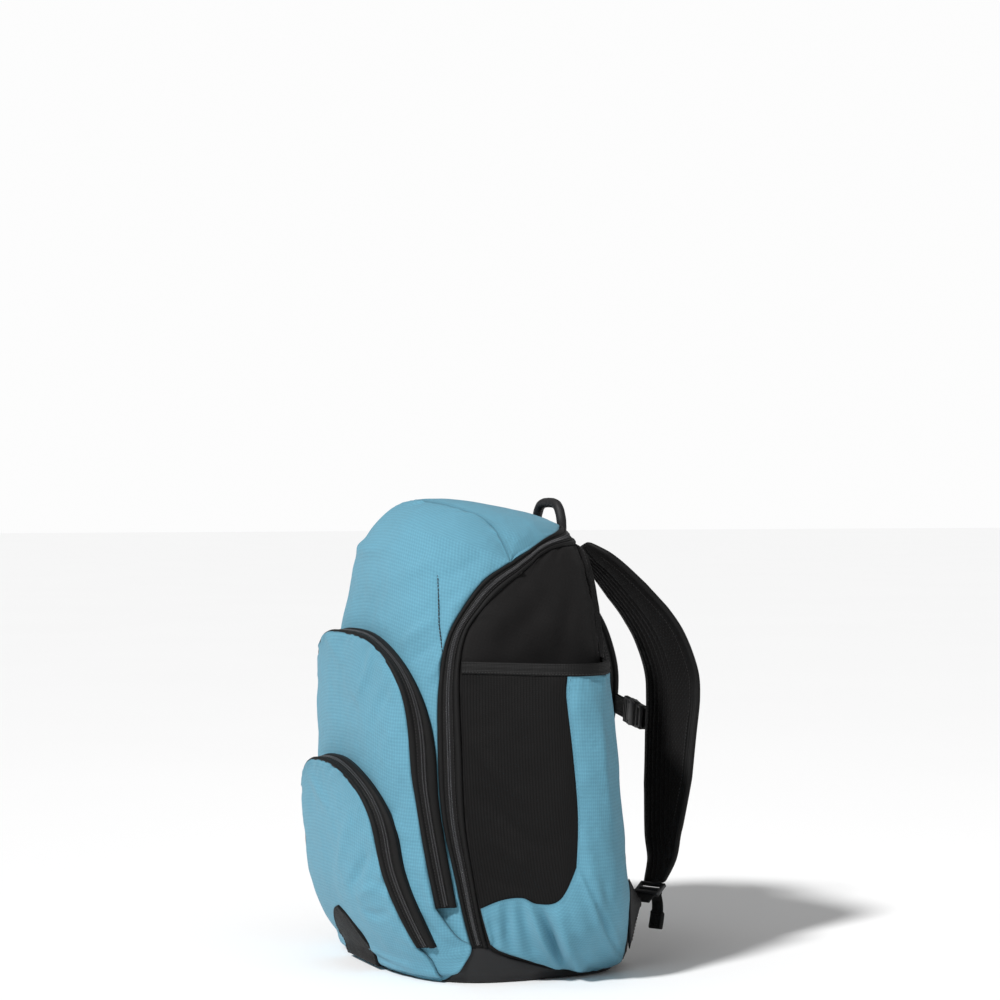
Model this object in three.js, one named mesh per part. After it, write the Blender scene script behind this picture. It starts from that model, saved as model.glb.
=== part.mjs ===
// A backpack for bats and balls, standing on its flat base. Millimetres.
// +Z is up, -Y is the front with the pockets, +Y is the wearer's side and +X is the near side.
import * as THREE from 'three';

// Driving dimensions of the bag
const bagHeight = 432; // base to the crown
const bagWidth = 300; // side to side, without the bat sleeves
const frontDepth = 120; // widest section to the front cloth, without its pockets
const backDepth = 100; // widest section to the back cloth, without its padding
const clothWall = 2;
const seamGap = 0.7; // between two cloth edges that meet at a seam
const layerGap = 0.9; // between two layers of cloth that lie on each other

// Driving dimensions of what is sewn to it
const upperPocketDepth = 13;
const lowerPocketDepth = 14;
const pocketSwell = 5; // more depth at the top of each pocket
const zipTapeWall = 1.5;
const zipCoilHeight = 2;
const backPadThickness = 11;
const backPadEdge = 3; // thickness where the padding is sewn down
const scuffPatchWall = 1.2;
const sleeveBulge = 57; // how far a bat sleeve stands out from the side
const sleeveTaper = 90; // height over which the sleeve narrows to the base seam
const sleeveMouth = 290; // height of the sleeve's mouth
const sleeveMeshWall = 1.4;
const sleeveFoldDepth = 5; // of the fold in the sleeve's lower panel
const bindingHeight = 11;
const bindingThickness = 3;
const haulLoopWidth = 56; // between the middles of its two ends
const haulLoopHeight = 34;
const haulLoopDiameter = 9.4;

// Driving dimensions of the harness
const strapWidth = 72;
const strapThickness = 12;
const strapReach = 95; // how far the strap stands behind the back cloth
const webbingWidth = 20;
const webbingThickness = 1.8;
const adjusterLength = 16;
const adjusterThickness = 4;
const tailFoldThickness = 5;
const wingThickness = 3;
const sternumHeight = 227;
const sternumSlope = 0.16; // drop for each millimetre towards the near side
const buckleWidth = 26;
const buckleThickness = 8;
const sliderLength = 13;
const sliderWidth = 9;
const sliderThickness = 4;
const pullLength = 21;
const hardwareGap = 0.3; // between two hard pieces that touch

const degree = Math.PI / 180;

// Sections of the bag from the base up. Lengths are shares: height of the bag's height, width of its
// half width, front and back of the two depths. bow and square are the powers of the rounded outline
// at the front and the back, and lean is how much the section rises for each millimetre to the front.
const sections = [
  { height: 0, width: 0.467, front: 0.5, back: 0.57, bow: 3, square: 4, lean: 0 },
  { height: 0, width: 0.88, front: 0.85, back: 0.88, bow: 3, square: 4.6, lean: 0 },
  { height: 0.012, width: 0.935, front: 0.912, back: 0.96, bow: 3, square: 5.4, lean: 0 },
  { height: 0.046, width: 0.973, front: 0.95, back: 1, bow: 3, square: 6, lean: 0 },
  { height: 0.139, width: 0.993, front: 0.983, back: 1, bow: 3.2, square: 6, lean: 0 },
  { height: 0.301, width: 1, front: 1, back: 0.93, bow: 3.2, square: 6, lean: 0 },
  { height: 0.486, width: 1, front: 1, back: 0.855, bow: 3.2, square: 5.5, lean: 0 },
  { height: 0.66, width: 0.973, front: 0.992, back: 0.79, bow: 3, square: 5, lean: 0 },
  { height: 0.787, width: 0.92, front: 0.942, back: 0.765, bow: 2.8, square: 4.2, lean: 0 },
  { height: 0.889, width: 0.827, front: 0.858, back: 0.745, bow: 2.6, square: 3.5, lean: 0.04 },
  { height: 0.951, width: 0.68, front: 0.708, back: 0.7, bow: 2.4, square: 3, lean: 0.1 },
  { height: 0.981, width: 0.493, front: 0.533, back: 0.6, bow: 2.2, square: 2.6, lean: 0.16 },
  { height: 0.995, width: 0.267, front: 0.317, back: 0.38, bow: 2, square: 2.2, lean: 0.18 },
  { height: 1, width: 0.007, front: 0.008, back: 0.01, bow: 2, square: 2, lean: 0.18 },
];
const crown = sections.length - 1;

// A place on the bag is an angle round it (0 front, 90 near side, 180 back) and a level, which counts
// the sections from the bottom row up. This reads one column between two rows, smoothly.
function column(key, level) {
  const row = Math.min(Math.floor(level), crown - 1);
  const share = level - row;
  const [a, b, c, d] = [row - 1, row, row + 1, row + 2].map(
    (index) => sections[THREE.MathUtils.clamp(index, 0, crown)][key],
  );
  const bend = 2 * a - 5 * b + 4 * c - d;
  const twist = 3 * b - a - 3 * c + d;
  return b + 0.5 * share * (c - a + share * (bend + share * twist));
}

// The cloth's outer surface at a place
function surface(angle, level) {
  const side = Math.sin(angle * degree);
  const ahead = Math.cos(angle * degree);
  const power = column(ahead > 0 ? 'bow' : 'square', level);
  const reach = (Math.abs(side) ** power + Math.abs(ahead) ** power) ** (-1 / power);
  const depth = ahead > 0 ? frontDepth * column('front', level) : backDepth * column('back', level);
  const y = -depth * ahead * reach;
  const z = Math.max(0, bagHeight * column('height', level)) - column('lean', level) * y;
  return new THREE.Vector3((bagWidth / 2) * column('width', level) * side * reach, y, z);
}

// The direction straight out of a surface, from its slopes round and up
function outward(shape, angle, level) {
  const turn = 0.5;
  const step = 0.02;
  const high = Math.min(level + step, crown);
  const low = Math.max(level - step, 0);
  const round = shape(angle + turn, level).sub(shape(angle - turn, level));
  const up = shape(angle, high).sub(shape(angle, low));
  return round.cross(up).normalize();
}

// A point a given distance outside the bag's surface
function onBag(angle, level, out = 0) {
  return surface(angle, level).addScaledVector(outward(surface, angle, level), out);
}

// The level whose section lies at a height above the base
function levelAt(height) {
  let low = 1;
  let high = crown;
  for (let step = 0; step < 30; step += 1) {
    const middle = (low + high) / 2;
    if (bagHeight * column('height', middle) < height) low = middle;
    else high = middle;
  }
  return (low + high) / 2;
}

// A smooth line of places through a few chosen ones, [angle, level] each, with count equal steps
function along(places, count) {
  const line = new THREE.SplineCurve(places.map(([angle, level]) => new THREE.Vector2(angle, level)));
  return line.getPoints(count).map((place) => [place.x, place.y]);
}

const mirrored = (line) => line.map(([angle, level]) => [-angle, level]).reverse();
const across = (half) => [...mirrored(half), ...half.slice(1)];
const pastBack = (line) => line.map(([angle, level]) => [360 - angle, level]);
const roundBack = (half) => [...half, ...pastBack(half.slice(0, -1)).reverse()];
const onward = (...lines) => lines.flatMap((line, index) => (index === 0 ? line : line.slice(1)));

// Seams of the near half, shared by the panels on both sides of them
const zipFoot = [59, 3.45];
const zipHeel = [65.2, 3.43];
const frontCorner = [45.5, 1.25];
const backCorner = [137, 1.95];
const crestCorner = [78.5, 8.84];
const shoulder = [82.5, 8.57];
const backTop = [137, 9.42];
const baseFront = along([[0, 1.25], [24, 1.25], frontCorner], 8);
const baseCorner = along([frontCorner, [50.5, 2.1], [55.5, 2.93], zipFoot], 3);
const baseSide = along([zipHeel, [71, 3.22], [84.5, 2.9], [105.8, 2.2], [124, 1.75], backCorner], 8);
const baseBack = along([backCorner, [158, 2.1], [180, 2.1]], 5);
const zipFrontSide = along(
  [zipFoot, [54, 4.42], [48.5, 5.3], [47, 6.1], [47.6, 6.8], [51, 7.52], [60, 8.2], [68, 8.56], crestCorner],
  12,
);
const zipFrontTop = along([crestCorner, [97, 9.36], [116, 9.85], [148, 10.6], [180, 10.9]], 13);
const zipRearSide = along(
  [zipHeel, [60.8, 4.42], [57.2, 5.2], [56, 6], [55.5, 6.9], [58.4, 7.55], [66, 8], [73.5, 8.3], shoulder],
  12,
);
const zipRearTop = along([shoulder, [95, 8.95], [108.5, 9.22], [122, 9.35], backTop], 8);
const zipRearBack = along([backTop, [158, 9.56], [180, 9.6]], 5);
const backEdge = along([backCorner, [137, 4], [137, 7], backTop], 12);
const crest = along([crestCorner, [74.5, 9.47], [69, 10.04], [58, 10.48], [33.5, 10.92], [0, 11.1]], 13);

// A grid of places filled in from its four edges
function patch(bottom, top, left, right) {
  const wide = bottom.length - 1;
  const tall = left.length - 1;
  return left.map((_, row) => bottom.map((__, place) => {
    const s = place / wide;
    const t = row / tall;
    return [0, 1].map((axis) => {
      const rise = (1 - t) * bottom[place][axis] + t * top[place][axis];
      const span = (1 - s) * left[row][axis] + s * right[row][axis];
      const low = (1 - s) * bottom[0][axis] + s * bottom[wide][axis];
      const high = (1 - s) * top[0][axis] + s * top[wide][axis];
      return rise + span - (1 - t) * low - t * high;
    });
  }));
}

// A grid of places between two lines of the same count, in straight steps
function between(first, second, shares) {
  return shares.map((share) => first.map((place, index) => (
    [0, 1].map((axis) => THREE.MathUtils.lerp(place[axis], second[index][axis], share))
  )));
}

const evenShares = (count) => Array.from({ length: count + 1 }, (_, index) => index / count);

// The same over the crown, where straight steps are taken in the plan view
function overCrown(first, second, count) {
  const toPlan = ([angle, level]) => new THREE.Vector2(
    (crown - level) * Math.sin(angle * degree),
    (crown - level) * Math.cos(angle * degree),
  );
  return evenShares(count).map((share) => first.map((place, index) => {
    const plan = toPlan(place).lerp(toPlan(second[index]), share);
    return [Math.atan2(plan.x, plan.y) / degree, crown - plan.length()];
  }));
}

// One closed body from points and triangles, with its faces turned outwards
function solid(points, triangles) {
  const places = [];
  const numbers = new Map();
  const merged = points.map((point) => {
    const key = point.toArray().map((value) => Math.round(value * 1000)).join(' ');
    if (!numbers.has(key)) {
      numbers.set(key, places.length);
      places.push(point);
    }
    return numbers.get(key);
  });
  const faces = triangles
    .map((corners) => corners.map((corner) => merged[corner]))
    .filter(([a, b, c]) => a !== b && b !== c && c !== a);
  const volume = faces.reduce((sum, [a, b, c]) => (
    sum + places[a].dot(new THREE.Vector3().crossVectors(places[b], places[c]))
  ), 0);
  const outside = volume > 0 ? faces : faces.map(([a, b, c]) => [a, c, b]);
  const geometry = new THREE.BufferGeometry();
  geometry.setAttribute('position', new THREE.Float32BufferAttribute(places.flatMap((p) => p.toArray()), 3));
  geometry.setIndex(outside.flat());
  geometry.computeVertexNormals();
  return geometry;
}

// A wall between two grids of points. A ring joins the last column to the first, and a grid that
// starts at a single point starts closed.
function wall(outer, inner, { ring = false, closedStart = false } = {}) {
  const tall = outer.length;
  const wide = outer[0].length;
  const points = [...outer.flat(), ...inner.flat()];
  const skip = tall * wide;
  const triangles = [];
  const quad = (a, b, c, d) => triangles.push([a, b, c], [a, c, d]);
  const at = (row, place) => row * wide + (place % wide);
  const columns = ring ? wide : wide - 1;
  for (let row = 0; row < tall - 1; row += 1) {
    for (let place = 0; place < columns; place += 1) {
      const loop = [at(row, place), at(row, place + 1), at(row + 1, place + 1), at(row + 1, place)];
      quad(...loop);
      quad(...loop.map((corner) => corner + skip).reverse());
    }
  }
  const rim = (a, b) => quad(b, a, a + skip, b + skip);
  for (let place = 0; place < columns; place += 1) {
    if (!closedStart) rim(at(0, place), at(0, place + 1));
    rim(at(tall - 1, place + 1), at(tall - 1, place));
  }
  for (let row = 0; row < tall - 1 && !ring; row += 1) {
    rim(at(row + 1, 0), at(row, 0));
    rim(at(row, wide - 1), at(row + 1, wide - 1));
  }
  return solid(points, triangles);
}

// Draws the four edges of a grid of points back by half a seam gap
function drawnBack(grid) {
  const tall = grid.length;
  const wide = grid[0].length;
  const moved = grid.map((line) => line.map((point) => point.clone()));
  const pull = (row, place, innerRow, innerPlace) => {
    const step = grid[innerRow][innerPlace].clone().sub(grid[row][place]);
    if (step.length() > 0) moved[row][place].addScaledVector(step.normalize(), seamGap / 2);
  };
  for (let place = 0; place < wide; place += 1) {
    pull(0, place, 1, place);
    pull(tall - 1, place, tall - 2, place);
  }
  for (let row = 0; row < tall; row += 1) {
    pull(row, 0, row, 1);
    pull(row, wide - 1, row, wide - 2);
  }
  return moved;
}

// A cloth panel over a grid of places. The faces' distances are numbers or follow the place.
function panel(grid, outerFace, innerFace, shape = onBag) {
  const face = (distance) => drawnBack(grid.map((line, row) => line.map(([angle, level], place) => (
    shape(angle, level, typeof distance === 'function' ? distance(angle, level, row, place) : distance)
  ))));
  return wall(face(outerFace), face(innerFace));
}

// The same geometry on the other side of the bag
function otherSide(geometry) {
  const position = geometry.getAttribute('position');
  const index = Array.from(geometry.getIndex().array);
  const points = Array.from({ length: position.count }, (_, number) => (
    new THREE.Vector3().fromBufferAttribute(position, number).multiply(new THREE.Vector3(-1, 1, 1))
  ));
  const triangles = Array.from({ length: index.length / 3 }, (_, face) => (
    index.slice(3 * face, 3 * face + 3)
  ));
  return solid(points, triangles);
}

const backpack = new THREE.Group();

const finishes = {
  blueCloth: { color: 0x74b0c9, roughness: 0.8, metalness: 0 },
  blackCloth: { color: 0x141416, roughness: 0.75, metalness: 0 },
  coatedCloth: { color: 0x1b1b1d, roughness: 0.55, metalness: 0 },
  blackMesh: { color: 0x101011, roughness: 0.85, metalness: 0 },
  zipTape: { color: 0x121214, roughness: 0.6, metalness: 0 },
  webbing: { color: 0x17171a, roughness: 0.7, metalness: 0 },
  plastic: { color: 0x18181a, roughness: 0.4, metalness: 0 },
  metal: { color: 0x2a2a2c, roughness: 0.35, metalness: 0.9 },
};

function add(name, finish, geometry) {
  const mesh = new THREE.Mesh(geometry, new THREE.MeshStandardMaterial(finishes[finish]));
  mesh.name = name;
  backpack.add(mesh);
}

function addPair(name, finish, geometry) {
  add(`${name}_near`, finish, geometry);
  add(`${name}_far`, finish, otherSide(geometry));
}

// Main compartment: base, front, top, sides and padded back
function makeBase() {
  const half = onward(baseFront, baseCorner, [zipFoot, zipHeel], baseSide, baseBack);
  const seam = [...half.slice(0, -1), ...pastBack(half.slice(1)).reverse()];
  const rings = [0, 0.5, 1].map((share) => (
    seam.map(([angle, level]) => [angle, THREE.MathUtils.lerp(1, level, share)])
  ));
  rings.unshift(seam.map(([angle]) => [angle, 0]));
  const face = (distance) => {
    const rows = rings.map((ring) => ring.map(([angle, level]) => onBag(angle, level, -distance)));
    rows[0] = rows[0].map((point) => new THREE.Vector3(0, 0, point.z));
    rows.at(-1).forEach((point, place) => {
      const step = rows.at(-2)[place].clone().sub(point).normalize();
      point.addScaledVector(step, seamGap);
    });
    return rows;
  };
  add('base_panel', 'coatedCloth', wall(face(0), face(clothWall), { ring: true, closedStart: true }));
}

function makeFront() {
  const right = onward(baseCorner, zipFrontSide, crest.slice(0, 6));
  const top = across(crest.slice(5).reverse());
  add('front_panel', 'blueCloth', panel(
    patch(across(baseFront), top, right.map(([angle, level]) => [-angle, level]), right),
    0,
    -clothWall,
  ));
}

function makeTop() {
  const front = across(crest.slice().reverse());
  const rear = [
    ...zipFrontTop.map(([angle, level]) => [-angle, level]),
    ...zipFrontTop.slice(0, -1).reverse(),
  ];
  add('top_panel', 'blueCloth', panel(overCrown(front, rear, 5), 0, -clothWall));
}

function makeSides() {
  const grid = patch(baseSide, zipRearTop, zipRearSide, backEdge);
  addPair('side_panel', 'blackCloth', panel(grid, 0, -clothWall));
}

function makeBack() {
  const rows = patch(roundBack(baseBack), roundBack(zipRearBack), backEdge, pastBack(backEdge));
  const tall = rows.length - 1;
  const wide = rows[0].length - 1;
  const padding = (angle, level, row, place) => {
    const rise = Math.min(row, tall - row, place, wide - place);
    return rise === 0 ? backPadEdge : rise === 1 ? 0.8 * backPadThickness : backPadThickness;
  };
  add('back_panel', 'blackMesh', panel(rows, padding, -clothWall));
}

// Zips: flat tape with a raised coil along the middle, as shares of the width across the tape
const zipProfile = [
  { share: 0, height: 0 },
  { share: 0.3, height: 0 },
  { share: 0.38, height: 1 },
  { share: 0.62, height: 1 },
  { share: 0.7, height: 0 },
  { share: 1, height: 0 },
];

function zip(front, rear, tapeFace) {
  const shares = zipProfile.map((row) => row.share);
  return panel(
    between(front, rear, shares),
    (angle, level, row) => tapeFace(angle, level) + zipCoilHeight * zipProfile[row].height,
    (angle, level) => tapeFace(angle, level) - zipTapeWall,
  );
}

function makeMainZip() {
  add('main_zip', 'zipTape', zip(
    roundBack(onward(zipFrontSide, zipFrontTop)),
    roundBack(onward(zipRearSide, zipRearTop, zipRearBack)),
    () => 0,
  ));
}

// Front pockets. Each arch is half an angle wide to each side of the middle, and below its spring it
// splays by so many degrees for each millimetre.
// outer is where the zip's tape is sewn down, inner is where the pocket's face begins.
const upperPocket = {
  depth: upperPocketDepth,
  rim: 0.75, // share of the depth at the face's edge, which grows to 1 at its top
  crownPower: 3,
  foot: { from: 0.035 * bagHeight, over: 0.255 * bagHeight },
  outer: { half: 47.4, top: 0.727 * bagHeight, arch: 0.335 * bagHeight, bow: 2.6, splay: 29.4 / bagHeight },
  inner: { half: 40, top: 0.717 * bagHeight, arch: 0.27 * bagHeight, bow: 3.2, splay: 27.2 / bagHeight },
};
const lowerPocket = {
  depth: lowerPocketDepth,
  rim: 0.8,
  crownPower: 3,
  foot: { from: 0.046 * bagHeight, over: 0.208 * bagHeight },
  outer: { half: 37, top: 0.456 * bagHeight, arch: 0.2 * bagHeight, bow: 2.2, splay: 59 / bagHeight },
  inner: { half: 31.5, top: 0.446 * bagHeight, arch: 0.178 * bagHeight, bow: 2.5, splay: 51.4 / bagHeight },
};

// Below 1 inside an arch, 1 on it and above 1 outside
function withinArch(arch, angle, height) {
  const spring = arch.top - arch.arch;
  const half = arch.half + arch.splay * Math.max(spring - height, 0);
  const rise = Math.max(height - spring, 0) / arch.arch;
  return ((Math.abs(angle) / half) ** arch.bow + rise ** arch.bow) ** (1 / arch.bow);
}

// How far a pocket stands out from what it is sewn to
function pocketRise(pocket, angle, level) {
  const height = bagHeight * column('height', level);
  const inside = 1 - withinArch(pocket.outer, angle, height);
  const beyond = withinArch(pocket.inner, angle, height) - 1;
  const full = THREE.MathUtils.clamp((height - pocket.foot.from) / pocket.foot.over, 0, 1);
  const spring = pocket.outer.top - pocket.outer.arch;
  const up = THREE.MathUtils.clamp((height - spring) / pocket.outer.arch, 0, 1);
  const rim = THREE.MathUtils.lerp(pocket.rim, 1, up);
  const depth = (pocket.depth + pocketSwell * up) * full * (2 - full);
  if (inside <= 0) return 0;
  if (beyond > 0) return depth * rim * (inside / (inside + beyond));
  return depth * (rim + (1 - rim) * (1 - (1 + beyond) ** pocket.crownPower));
}

// The near half of an arch, from the top centre down to a height above the base: its top edge, the
// bend down to its spring and the straight run below it
const archBend = 34; // degrees of the arch that count as its top edge
function archLine(arch, footHeight, { top, bend, run }) {
  const spring = arch.top - arch.arch;
  const turns = [
    ...evenShares(top).map((share) => archBend * share),
    ...evenShares(bend).slice(1).map((share) => THREE.MathUtils.lerp(archBend, 90, share)),
  ];
  const round = turns.map((turn) => [
    arch.half * Math.sin(turn * degree) ** (2 / arch.bow),
    levelAt(spring + arch.arch * Math.abs(Math.cos(turn * degree)) ** (2 / arch.bow)),
  ]);
  const straight = evenShares(run).slice(1).map((share) => {
    const height = THREE.MathUtils.lerp(spring, footHeight, share);
    return [arch.half + arch.splay * (spring - height), levelAt(height)];
  });
  return [...round, ...straight];
}

const layerStep = clothWall + layerGap;
const upperFace = (angle, level) => layerStep + pocketRise(upperPocket, angle, level);
const lowerFace = (angle, level) => (
  layerStep + upperFace(angle, level) + pocketRise(lowerPocket, angle, level)
);

function pocketPair(name, face, pocket, foot) {
  const steps = { top: foot.base.length - 1, bend: 4, run: 5 };
  const inner = archLine(pocket.inner, foot.height, steps);
  const outer = archLine(pocket.outer, foot.height, steps);
  const right = onward([...foot.seam, inner.at(-1)], inner.slice(steps.top).reverse());
  add(name, 'blueCloth', panel(
    patch(
      across(foot.base),
      across(inner.slice(0, steps.top + 1)),
      right.map(([angle, level]) => [-angle, level]),
      right,
    ),
    face,
    (angle, level) => face(angle, level) - clothWall,
  ));
  add(`${name}_zip`, 'zipTape', zip(across(outer), across(inner), face));
}

const pocketFoot = 2.15; // level of the seam along the bottom of both pockets
const lowerPocketFoot = along([[0, pocketFoot], [24, pocketFoot], [47.5, pocketFoot]], 6);

function makePockets() {
  const corner = [53, pocketFoot + 0.3];
  pocketPair('upper_pocket', upperFace, upperPocket, {
    height: 0.164 * bagHeight,
    base: along([[0, pocketFoot], [25, pocketFoot], [47, pocketFoot], corner], 7),
    seam: [corner, [56, 2.95], zipFoot, [54, 3.7]],
  });
  pocketPair('lower_pocket', lowerFace, lowerPocket, {
    height: 0.083 * bagHeight,
    base: lowerPocketFoot,
    seam: along([lowerPocketFoot.at(-1), [46, 2.6], [44.5, 3.1]], 3),
  });
}

// Scuff patch on the foot of the lower pocket
function makeScuffPatch() {
  const half = 15.5;
  const edge = along([[half, pocketFoot], [half, 2.6], [14.5, 3.2]], 5);
  const top = across(along([[0, 3.95], [6, 3.85], [11, 3.6], [14.5, 3.2]], 3));
  const bottom = across(along([[0, pocketFoot], [half, pocketFoot]], 3));
  const face = (angle, level) => lowerFace(angle, level) + layerGap;
  add('front_scuff_patch', 'coatedCloth', panel(
    patch(bottom, top, edge.map(([angle, level]) => [-angle, level]), edge),
    (angle, level) => face(angle, level) + scuffPatchWall,
    face,
  ));
}

// Bat sleeves. The sleeve's cloth leaves the side at the zip, swells round the bat and comes back at
// the bag's rear edge. Its fullest place is level with the bat.
const sleeveRear = 136;
const sleeveFullness = 1.5;
const sleeveSole = 8; // height where the sleeve starts to swell

function zipHeelAngle(level) {
  const next = Math.max(1, zipRearSide.findIndex((place) => place[1] >= level));
  const [low, high] = [zipRearSide[next - 1], zipRearSide[next]];
  const share = THREE.MathUtils.clamp((level - low[1]) / (high[1] - low[1]), 0, 1);
  return THREE.MathUtils.lerp(low[0], high[0], share);
}

function sleeveShape(angle, level) {
  const point = surface(angle, level);
  const front = surface(zipHeelAngle(level), level).y;
  const rear = surface(sleeveRear, level).y;
  const share = THREE.MathUtils.clamp((point.y - front) / (rear - front), 0, 1);
  const full = THREE.MathUtils.clamp((point.z - sleeveSole) / sleeveTaper, 0, 1);
  point.x += sleeveBulge * Math.sin(Math.PI * share ** sleeveFullness) * full * (2 - full);
  return point;
}

function onSleeve(angle, level, out) {
  return sleeveShape(angle, level).addScaledVector(outward(sleeveShape, angle, level), out);
}

function makeSleeve() {
  const mouth = levelAt(sleeveMouth - bindingHeight);
  const lap = 0.6; // degrees that the sleeve's front edge stays behind the zip
  const frontAt = (level) => [zipHeelAngle(level) + lap, level];
  const meshHeel = frontAt(4.16);
  const meshCorner = [96.8, 4.6];
  const meshTop = [90.5, mouth];
  const left = along([meshHeel, frontAt(4.9), frontAt(5.7), frontAt(6.4), frontAt(mouth)], 8);
  const right = along([meshCorner, [95.5, 5.34], [92.7, 6.04], [89.8, 6.62], meshTop], 8);
  const bottom = along([meshHeel, [70, 4.29], [76.6, 4.33], [81.8, 4.26], [89, 4.32], meshCorner], 8);
  const top = along([frontAt(mouth), [73, mouth], meshTop], 8);
  const inner = layerGap;
  addPair('sleeve_mesh', 'blackMesh', panel(
    patch(bottom, top, left, right),
    inner + sleeveMeshWall,
    inner,
    onSleeve,
  ));
  const rear = along([[sleeveRear, mouth], [sleeveRear, 5], [sleeveRear, 2.6]], 8);
  const sole = along([[sleeveRear, 2.6], [124, 2.1], [105.8, 2.4], [84.5, 3], [71, 3.32], [66.4, 3.5]], 8);
  const seam = onward(right.slice().reverse(), bottom.slice().reverse());
  const foldAt = 11; // station of the fold along the lower panel
  addPair('sleeve_panel', 'blueCloth', panel(
    between(seam, onward(rear, sole), [0, 0.4, 0.75, 0.9, 1]),
    (angle, level, row, place) => inner + clothWall + foldShape(row, place - foldAt),
    (angle, level, row, place) => inner + foldShape(row, place - foldAt),
    onSleeve,
  ));
  const lip = levelAt(sleeveMouth);
  const low = along([frontAt(mouth), [74, mouth], [90.5, mouth], [115, mouth], [sleeveRear, mouth]], 16);
  const high = low.map(([angle]) => [angle, lip]);
  addPair('sleeve_binding', 'webbing', panel(
    between(low, high, [0, 1]),
    inner + bindingThickness,
    inner,
    onSleeve,
  ));
}

// The fold dips in the middle of the lower panel and swells a little on either side
function foldShape(row, station) {
  const middle = row > 0 && row < 3;
  if (!middle || Math.abs(station) > 1) return 0;
  return station === 0 ? 0 : sleeveFoldDepth;
}

// A bar along a line of frames, each with its centre, its width direction and its thickness direction
function bar(frames, outline) {
  const rows = frames.map(({ centre, wide, thick, width, depth }) => outline.map(([u, v]) => (
    centre.clone().addScaledVector(wide, (u * width) / 2).addScaledVector(thick, (v * depth) / 2)
  )));
  const count = outline.length;
  const points = [...rows.flat(), frames[0].centre, frames.at(-1).centre];
  const triangles = [];
  for (let row = 0; row < rows.length - 1; row += 1) {
    for (let side = 0; side < count; side += 1) {
      const next = (side + 1) % count;
      const [a, b] = [row * count + side, row * count + next];
      triangles.push([a, b, b + count], [a, b + count, a + count]);
    }
  }
  const last = (rows.length - 1) * count;
  for (let side = 0; side < count; side += 1) {
    const next = (side + 1) % count;
    triangles.push([next, side, rows.length * count]);
    triangles.push([last + side, last + next, rows.length * count + 1]);
  }
  return solid(points, triangles);
}

const paddedOutline = [
  [-1, -0.3], [-0.82, -1], [0.82, -1], [1, -0.3], [1, 0.3], [0.82, 1], [-0.82, 1], [-1, 0.3],
];
const flatOutline = [[-1, -1], [1, -1], [1, 1], [-1, 1]];

// Frames along a smooth path, with the width turned about the vertical axis by an angle
function frames(path, widths, turns, depth, count) {
  const curve = new THREE.CatmullRomCurve3(path, false, 'centripetal');
  const read = (values, share) => {
    const place = share * (values.length - 1);
    const low = Math.min(Math.floor(place), values.length - 2);
    return THREE.MathUtils.lerp(values[low], values[low + 1], place - low);
  };
  return evenShares(count).map((share) => {
    const turn = read(turns, share) * degree;
    const tangent = curve.getTangent(share);
    const wide = new THREE.Vector3(Math.cos(turn), Math.sin(turn), 0);
    const thick = tangent.clone().cross(wide).normalize();
    wide.crossVectors(thick, tangent).normalize();
    return { centre: curve.getPoint(share), wide, thick, width: read(widths, share), depth };
  });
}

// Route of a shoulder strap from the top of the back down to its foot. side is a share of the bag's
// half width, out of the strap's reach behind the back, height of the bag's height, width of the
// strap's width, and turn is the angle of its face in degrees.
const strapRoute = [
  { side: 0.333, out: 0.068, height: 0.903, width: 0.86, turn: 4 },
  { side: 0.38, out: 0.29, height: 0.861, width: 0.89, turn: 9 },
  { side: 0.4, out: 0.526, height: 0.806, width: 0.92, turn: 15 },
  { side: 0.417, out: 0.732, height: 0.752, width: 0.96, turn: 16 },
  { side: 0.437, out: 0.874, height: 0.699, width: 0.99, turn: 15.5 },
  { side: 0.453, out: 0.989, height: 0.623, width: 1, turn: 15.7 },
  { side: 0.46, out: 1, height: 0.569, width: 1, turn: 15 },
  { side: 0.48, out: 0.958, height: 0.491, width: 0.97, turn: 13.5 },
  { side: 0.53, out: 0.884, height: 0.387, width: 0.9, turn: 12.5 },
  { side: 0.613, out: 0.768, height: 0.28, width: 0.74, turn: 8 },
  { side: 0.673, out: 0.705, height: 0.227, width: 0.6, turn: 4 },
  { side: 0.72, out: 0.579, height: 0.176, width: 0.45, turn: 2 },
];
const backLine = 0.8 * backDepth; // the back cloth's place at mid height
const strapPoint = ({ side, out, height }) => new THREE.Vector3(
  (side * bagWidth) / 2,
  backLine + out * strapReach,
  height * bagHeight,
);

const strapFrames = frames(
  strapRoute.map(strapPoint),
  strapRoute.map((row) => row.width * strapWidth),
  strapRoute.map((row) => row.turn),
  strapThickness,
  20,
);

function makeStrap() {
  addPair('shoulder_strap', 'blackMesh', bar(strapFrames, paddedOutline));
}

// The strap's foot: a ladder lock, webbing down to a sewn wing on the bag's corner, and a loose tail
const wingRoot = { angle: 135.5, levels: [3.05, 4.4], out: backPadEdge + 2 * clothWall };

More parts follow.
